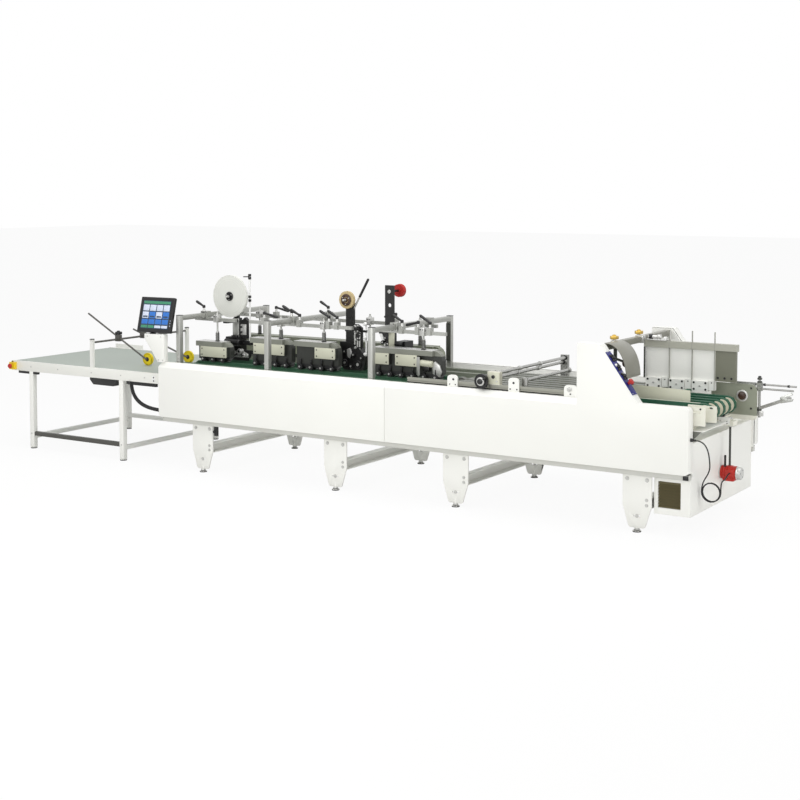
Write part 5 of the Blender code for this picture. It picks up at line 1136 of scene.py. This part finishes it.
conduit = {"start": (-2.900, 0.090, 0.7647), "leave": (0, 0, -0.20), "end": (-2.4803, 0.0425, 0.530), "arrive": (-0.20, 0, 0),
           "radius": 0.018, "rings": 96}
start, end = Vector(conduit["start"]), Vector(conduit["end"])
handles = (start, start + Vector(conduit["leave"]), end + Vector(conduit["arrive"]), end)
line = bpy.data.curves.new("conduit_hose", "CURVE")
line.dimensions = "3D"
line.bevel_depth = conduit["radius"]
line.bevel_resolution = 3
line.use_fill_caps = True
spline = line.splines.new("POLY")
spline.points.add(conduit["rings"])
for k, point in enumerate(spline.points):
    t = k / conduit["rings"]
    weights = ((1 - t) ** 3, 3 * t * (1 - t) ** 2, 3 * t * t * (1 - t), t ** 3)
    point.co = (*sum((handle * weight for handle, weight in zip(handles, weights)), Vector()), 1)
    point.radius = 1.0 if k % 2 else 0.84
hose = bpy.data.objects.new("conduit_hose", line)
bpy.context.scene.collection.objects.link(hose)
alone(hose)
bpy.ops.object.convert(target="MESH")
put(bpy.context.object, "conduit", "blackRubber")
put(lathe([(0.026, 0), (0.026, 0.010), (0.022, 0.014), (0.022, 0.030)], (-2.900, 0.090, 0.7647), (0, 0, -1), 8), "conduit", "blackPlastic")
put(lathe([(0.026, 0), (0.026, 0.010), (0.022, 0.014), (0.022, 0.030)], (-2.4803, 0.0425, 0.530), (-1, 0, 0), 8), "conduit", "blackPlastic")


# Table: plates, end caps, screws, wheel hubs and knobs

# The first box, a black bar under the near rail at the far left, is a bar whose black is partly painted shade from the
# rail above.
for low, high, finish in (((-4.400, 0.078, 0.7400), (-4.130, 0.104, 0.7648), "blackPlastic"),
                          ((-2.930, 0.078, 0.7320), (-2.580, 0.104, 0.7648), "blackPlastic"),
                          ((-2.620, 0.0700, 0.7760), (-2.585, 0.0749, 0.8360), "whitePlastic"),
                          ((-2.516, 0.0700, 0.7700), (-2.493, 0.0749, 0.8600), "blackPlastic"),
                          ((-4.4895, 0.0700, 0.7700), (-4.470, 0.0749, 0.8560), "blackPlastic")):
    put(box(low, high, 0.002), "table_trim", finish)
for z in (0.790, 0.822):
    put(screw((-2.602, 0.0700, z), (0, -1, 0), 0.007, 0.004), "table_trim", "blackPlastic")
for x in (-4.22, -3.85, -3.40, -3.02, -2.72):
    put(screw((x, 0.0750, 0.812), (0, -1, 0), 0.007, 0.004), "table_trim", "silver")
    put(screw((x, 1.4750, 0.812), (0, 1, 0), 0.007, 0.004), "table_trim", "silver")
put(lathe([(0.010, 0), (0.010, 0.006), (0.005, 0.006)], (-4.4565, 0.0402, 0.811), (0, -1, 0), 14), "table_trim", "blackPlastic")
for wheel, (x, y, z) in {"press_wheel_near": (-3.040, 0.477, 0.925), "press_wheel_far": (-2.830, 0.827, 0.925)}.items():
    for way in (-1, 1):
        put(lathe([(0.021, 0), (0.021, 0.004), (0.012, 0.010)], (x, y + way * 0.0128, z), (0, way, 0), 22), wheel, "blackPlastic")
    put(lathe([(0.0603, 0), (0.0612, 0.003), (0.0612, 0.021), (0.0603, 0.024)], (x, y - 0.012, z), (0, 1, 0), 40), wheel, "yellowPlastic")
for y in (0.45, 0.80):
    starKnob(-3.400, y, 1.140, "blackPlastic")
for x, y in ((-3.4, 0.090), (-3.4, 1.460)):
    put(lathe([(0.024, 0), (0.024, 0.004), (0.020, 0.006)], (x, y, 1.1298), (0, 0, 1), 18), "table_trim", "blackPlastic")
put(bar((-1.865, 0.080, 0.345), (-1.865, 0.080, 0.4342), 0.021, 18, 0.003), "table_trim", "blackPlastic")
put(dome((-1.865, 0.0595, 0.385), (0, -1, 0), 0.014, 0.018), "table_trim", "blackPlastic")
put(box((2.598, 0.0290, 0.440), (2.640, 0.0428, 0.470), 0.003), "table_trim", "blackPlastic")
for x in (-4.22, -3.02):
    for y in (0.0600, 1.490):
        way = -1 if y < 0.7 else 1
        put(screw((x, 0.075 if way < 0 else 1.475, 0.150), (0, way, 0), 0.008, 0.005), "table_trim", "silver")
        pad = 0.100 if way < 0 else 1.450
        put(lathe([(0.0325, 0), (0.0325, 0.006), (0.030, 0.009), (0.014, 0.0145)], (x, pad, 0.0005), (0, 0, 1), 22),
            "table_trim", "blackRubber")
# A dark plate over the near face of gantry 3's far post: painted shade on that face.
put(box((-0.234, 1.3930, 1.000), (-0.186, 1.3962, 1.3445), 0.0008), "stations", "darkCoat")
print("table fitted")

# Gathering: pieces of one group and finish become one object

for (group, finish), parts in pieces.items():
    whole = join(parts)
    whole.name = group + "_" + finish
    whole.data.transform(Matrix.Translation(shift))
    alone(whole)
    bpy.ops.object.shade_smooth_by_angle(angle=math.radians(35))
    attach(whole, bodyOf.get(group, "machine"))
    if (group, finish) in standsFor:
        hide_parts(standsFor[group, finish])
print("pieces gathered:", len(pieces))


# Floor and backdrop

bpy.ops.mesh.primitive_plane_add(size=120, location=(0, 0, -0.0005))
floor = bpy.context.object
floor.name = "floor"
ground = bpy.data.materials.new("floor")
ground.use_nodes = True
tree = ground.node_tree
tree.nodes.clear()
rays = tree.nodes.new("ShaderNodeLightPath")
plain = tree.nodes.new("ShaderNodeBsdfDiffuse")
plain.inputs["Color"].default_value = (0.88, 0.88, 0.87, 1)
glow = tree.nodes.new("ShaderNodeEmission")
glow.inputs["Strength"].default_value = 1.0
share = tree.nodes.new("ShaderNodeMath")
share.operation = "MULTIPLY"
share.inputs[1].default_value = 0.92
mixed = tree.nodes.new("ShaderNodeMixShader")
tree.links.new(rays.outputs["Is Camera Ray"], share.inputs[0])
tree.links.new(share.outputs[0], mixed.inputs[0])
tree.links.new(plain.outputs[0], mixed.inputs[1])
tree.links.new(glow.outputs[0], mixed.inputs[2])
tree.links.new(mixed.outputs[0], tree.nodes.new("ShaderNodeOutputMaterial").inputs["Surface"])
floor.data.materials.append(ground)

world = bpy.data.worlds.new("studio")
bpy.context.scene.world = world
world.use_nodes = True
tree = world.node_tree
back = tree.nodes["Background"]
back.inputs["Color"].default_value = (1, 1, 1, 1)
rays = tree.nodes.new("ShaderNodeLightPath")
seen = tree.nodes.new("ShaderNodeMath")
seen.operation = "MAXIMUM"
level = tree.nodes.new("ShaderNodeMath")
level.operation = "MAXIMUM"
level.inputs[1].default_value = 0.58
tree.links.new(rays.outputs["Is Camera Ray"], seen.inputs[0])
tree.links.new(rays.outputs["Is Glossy Ray"], seen.inputs[1])
tree.links.new(seen.outputs[0], level.inputs[0])
tree.links.new(level.outputs[0], back.inputs["Strength"])
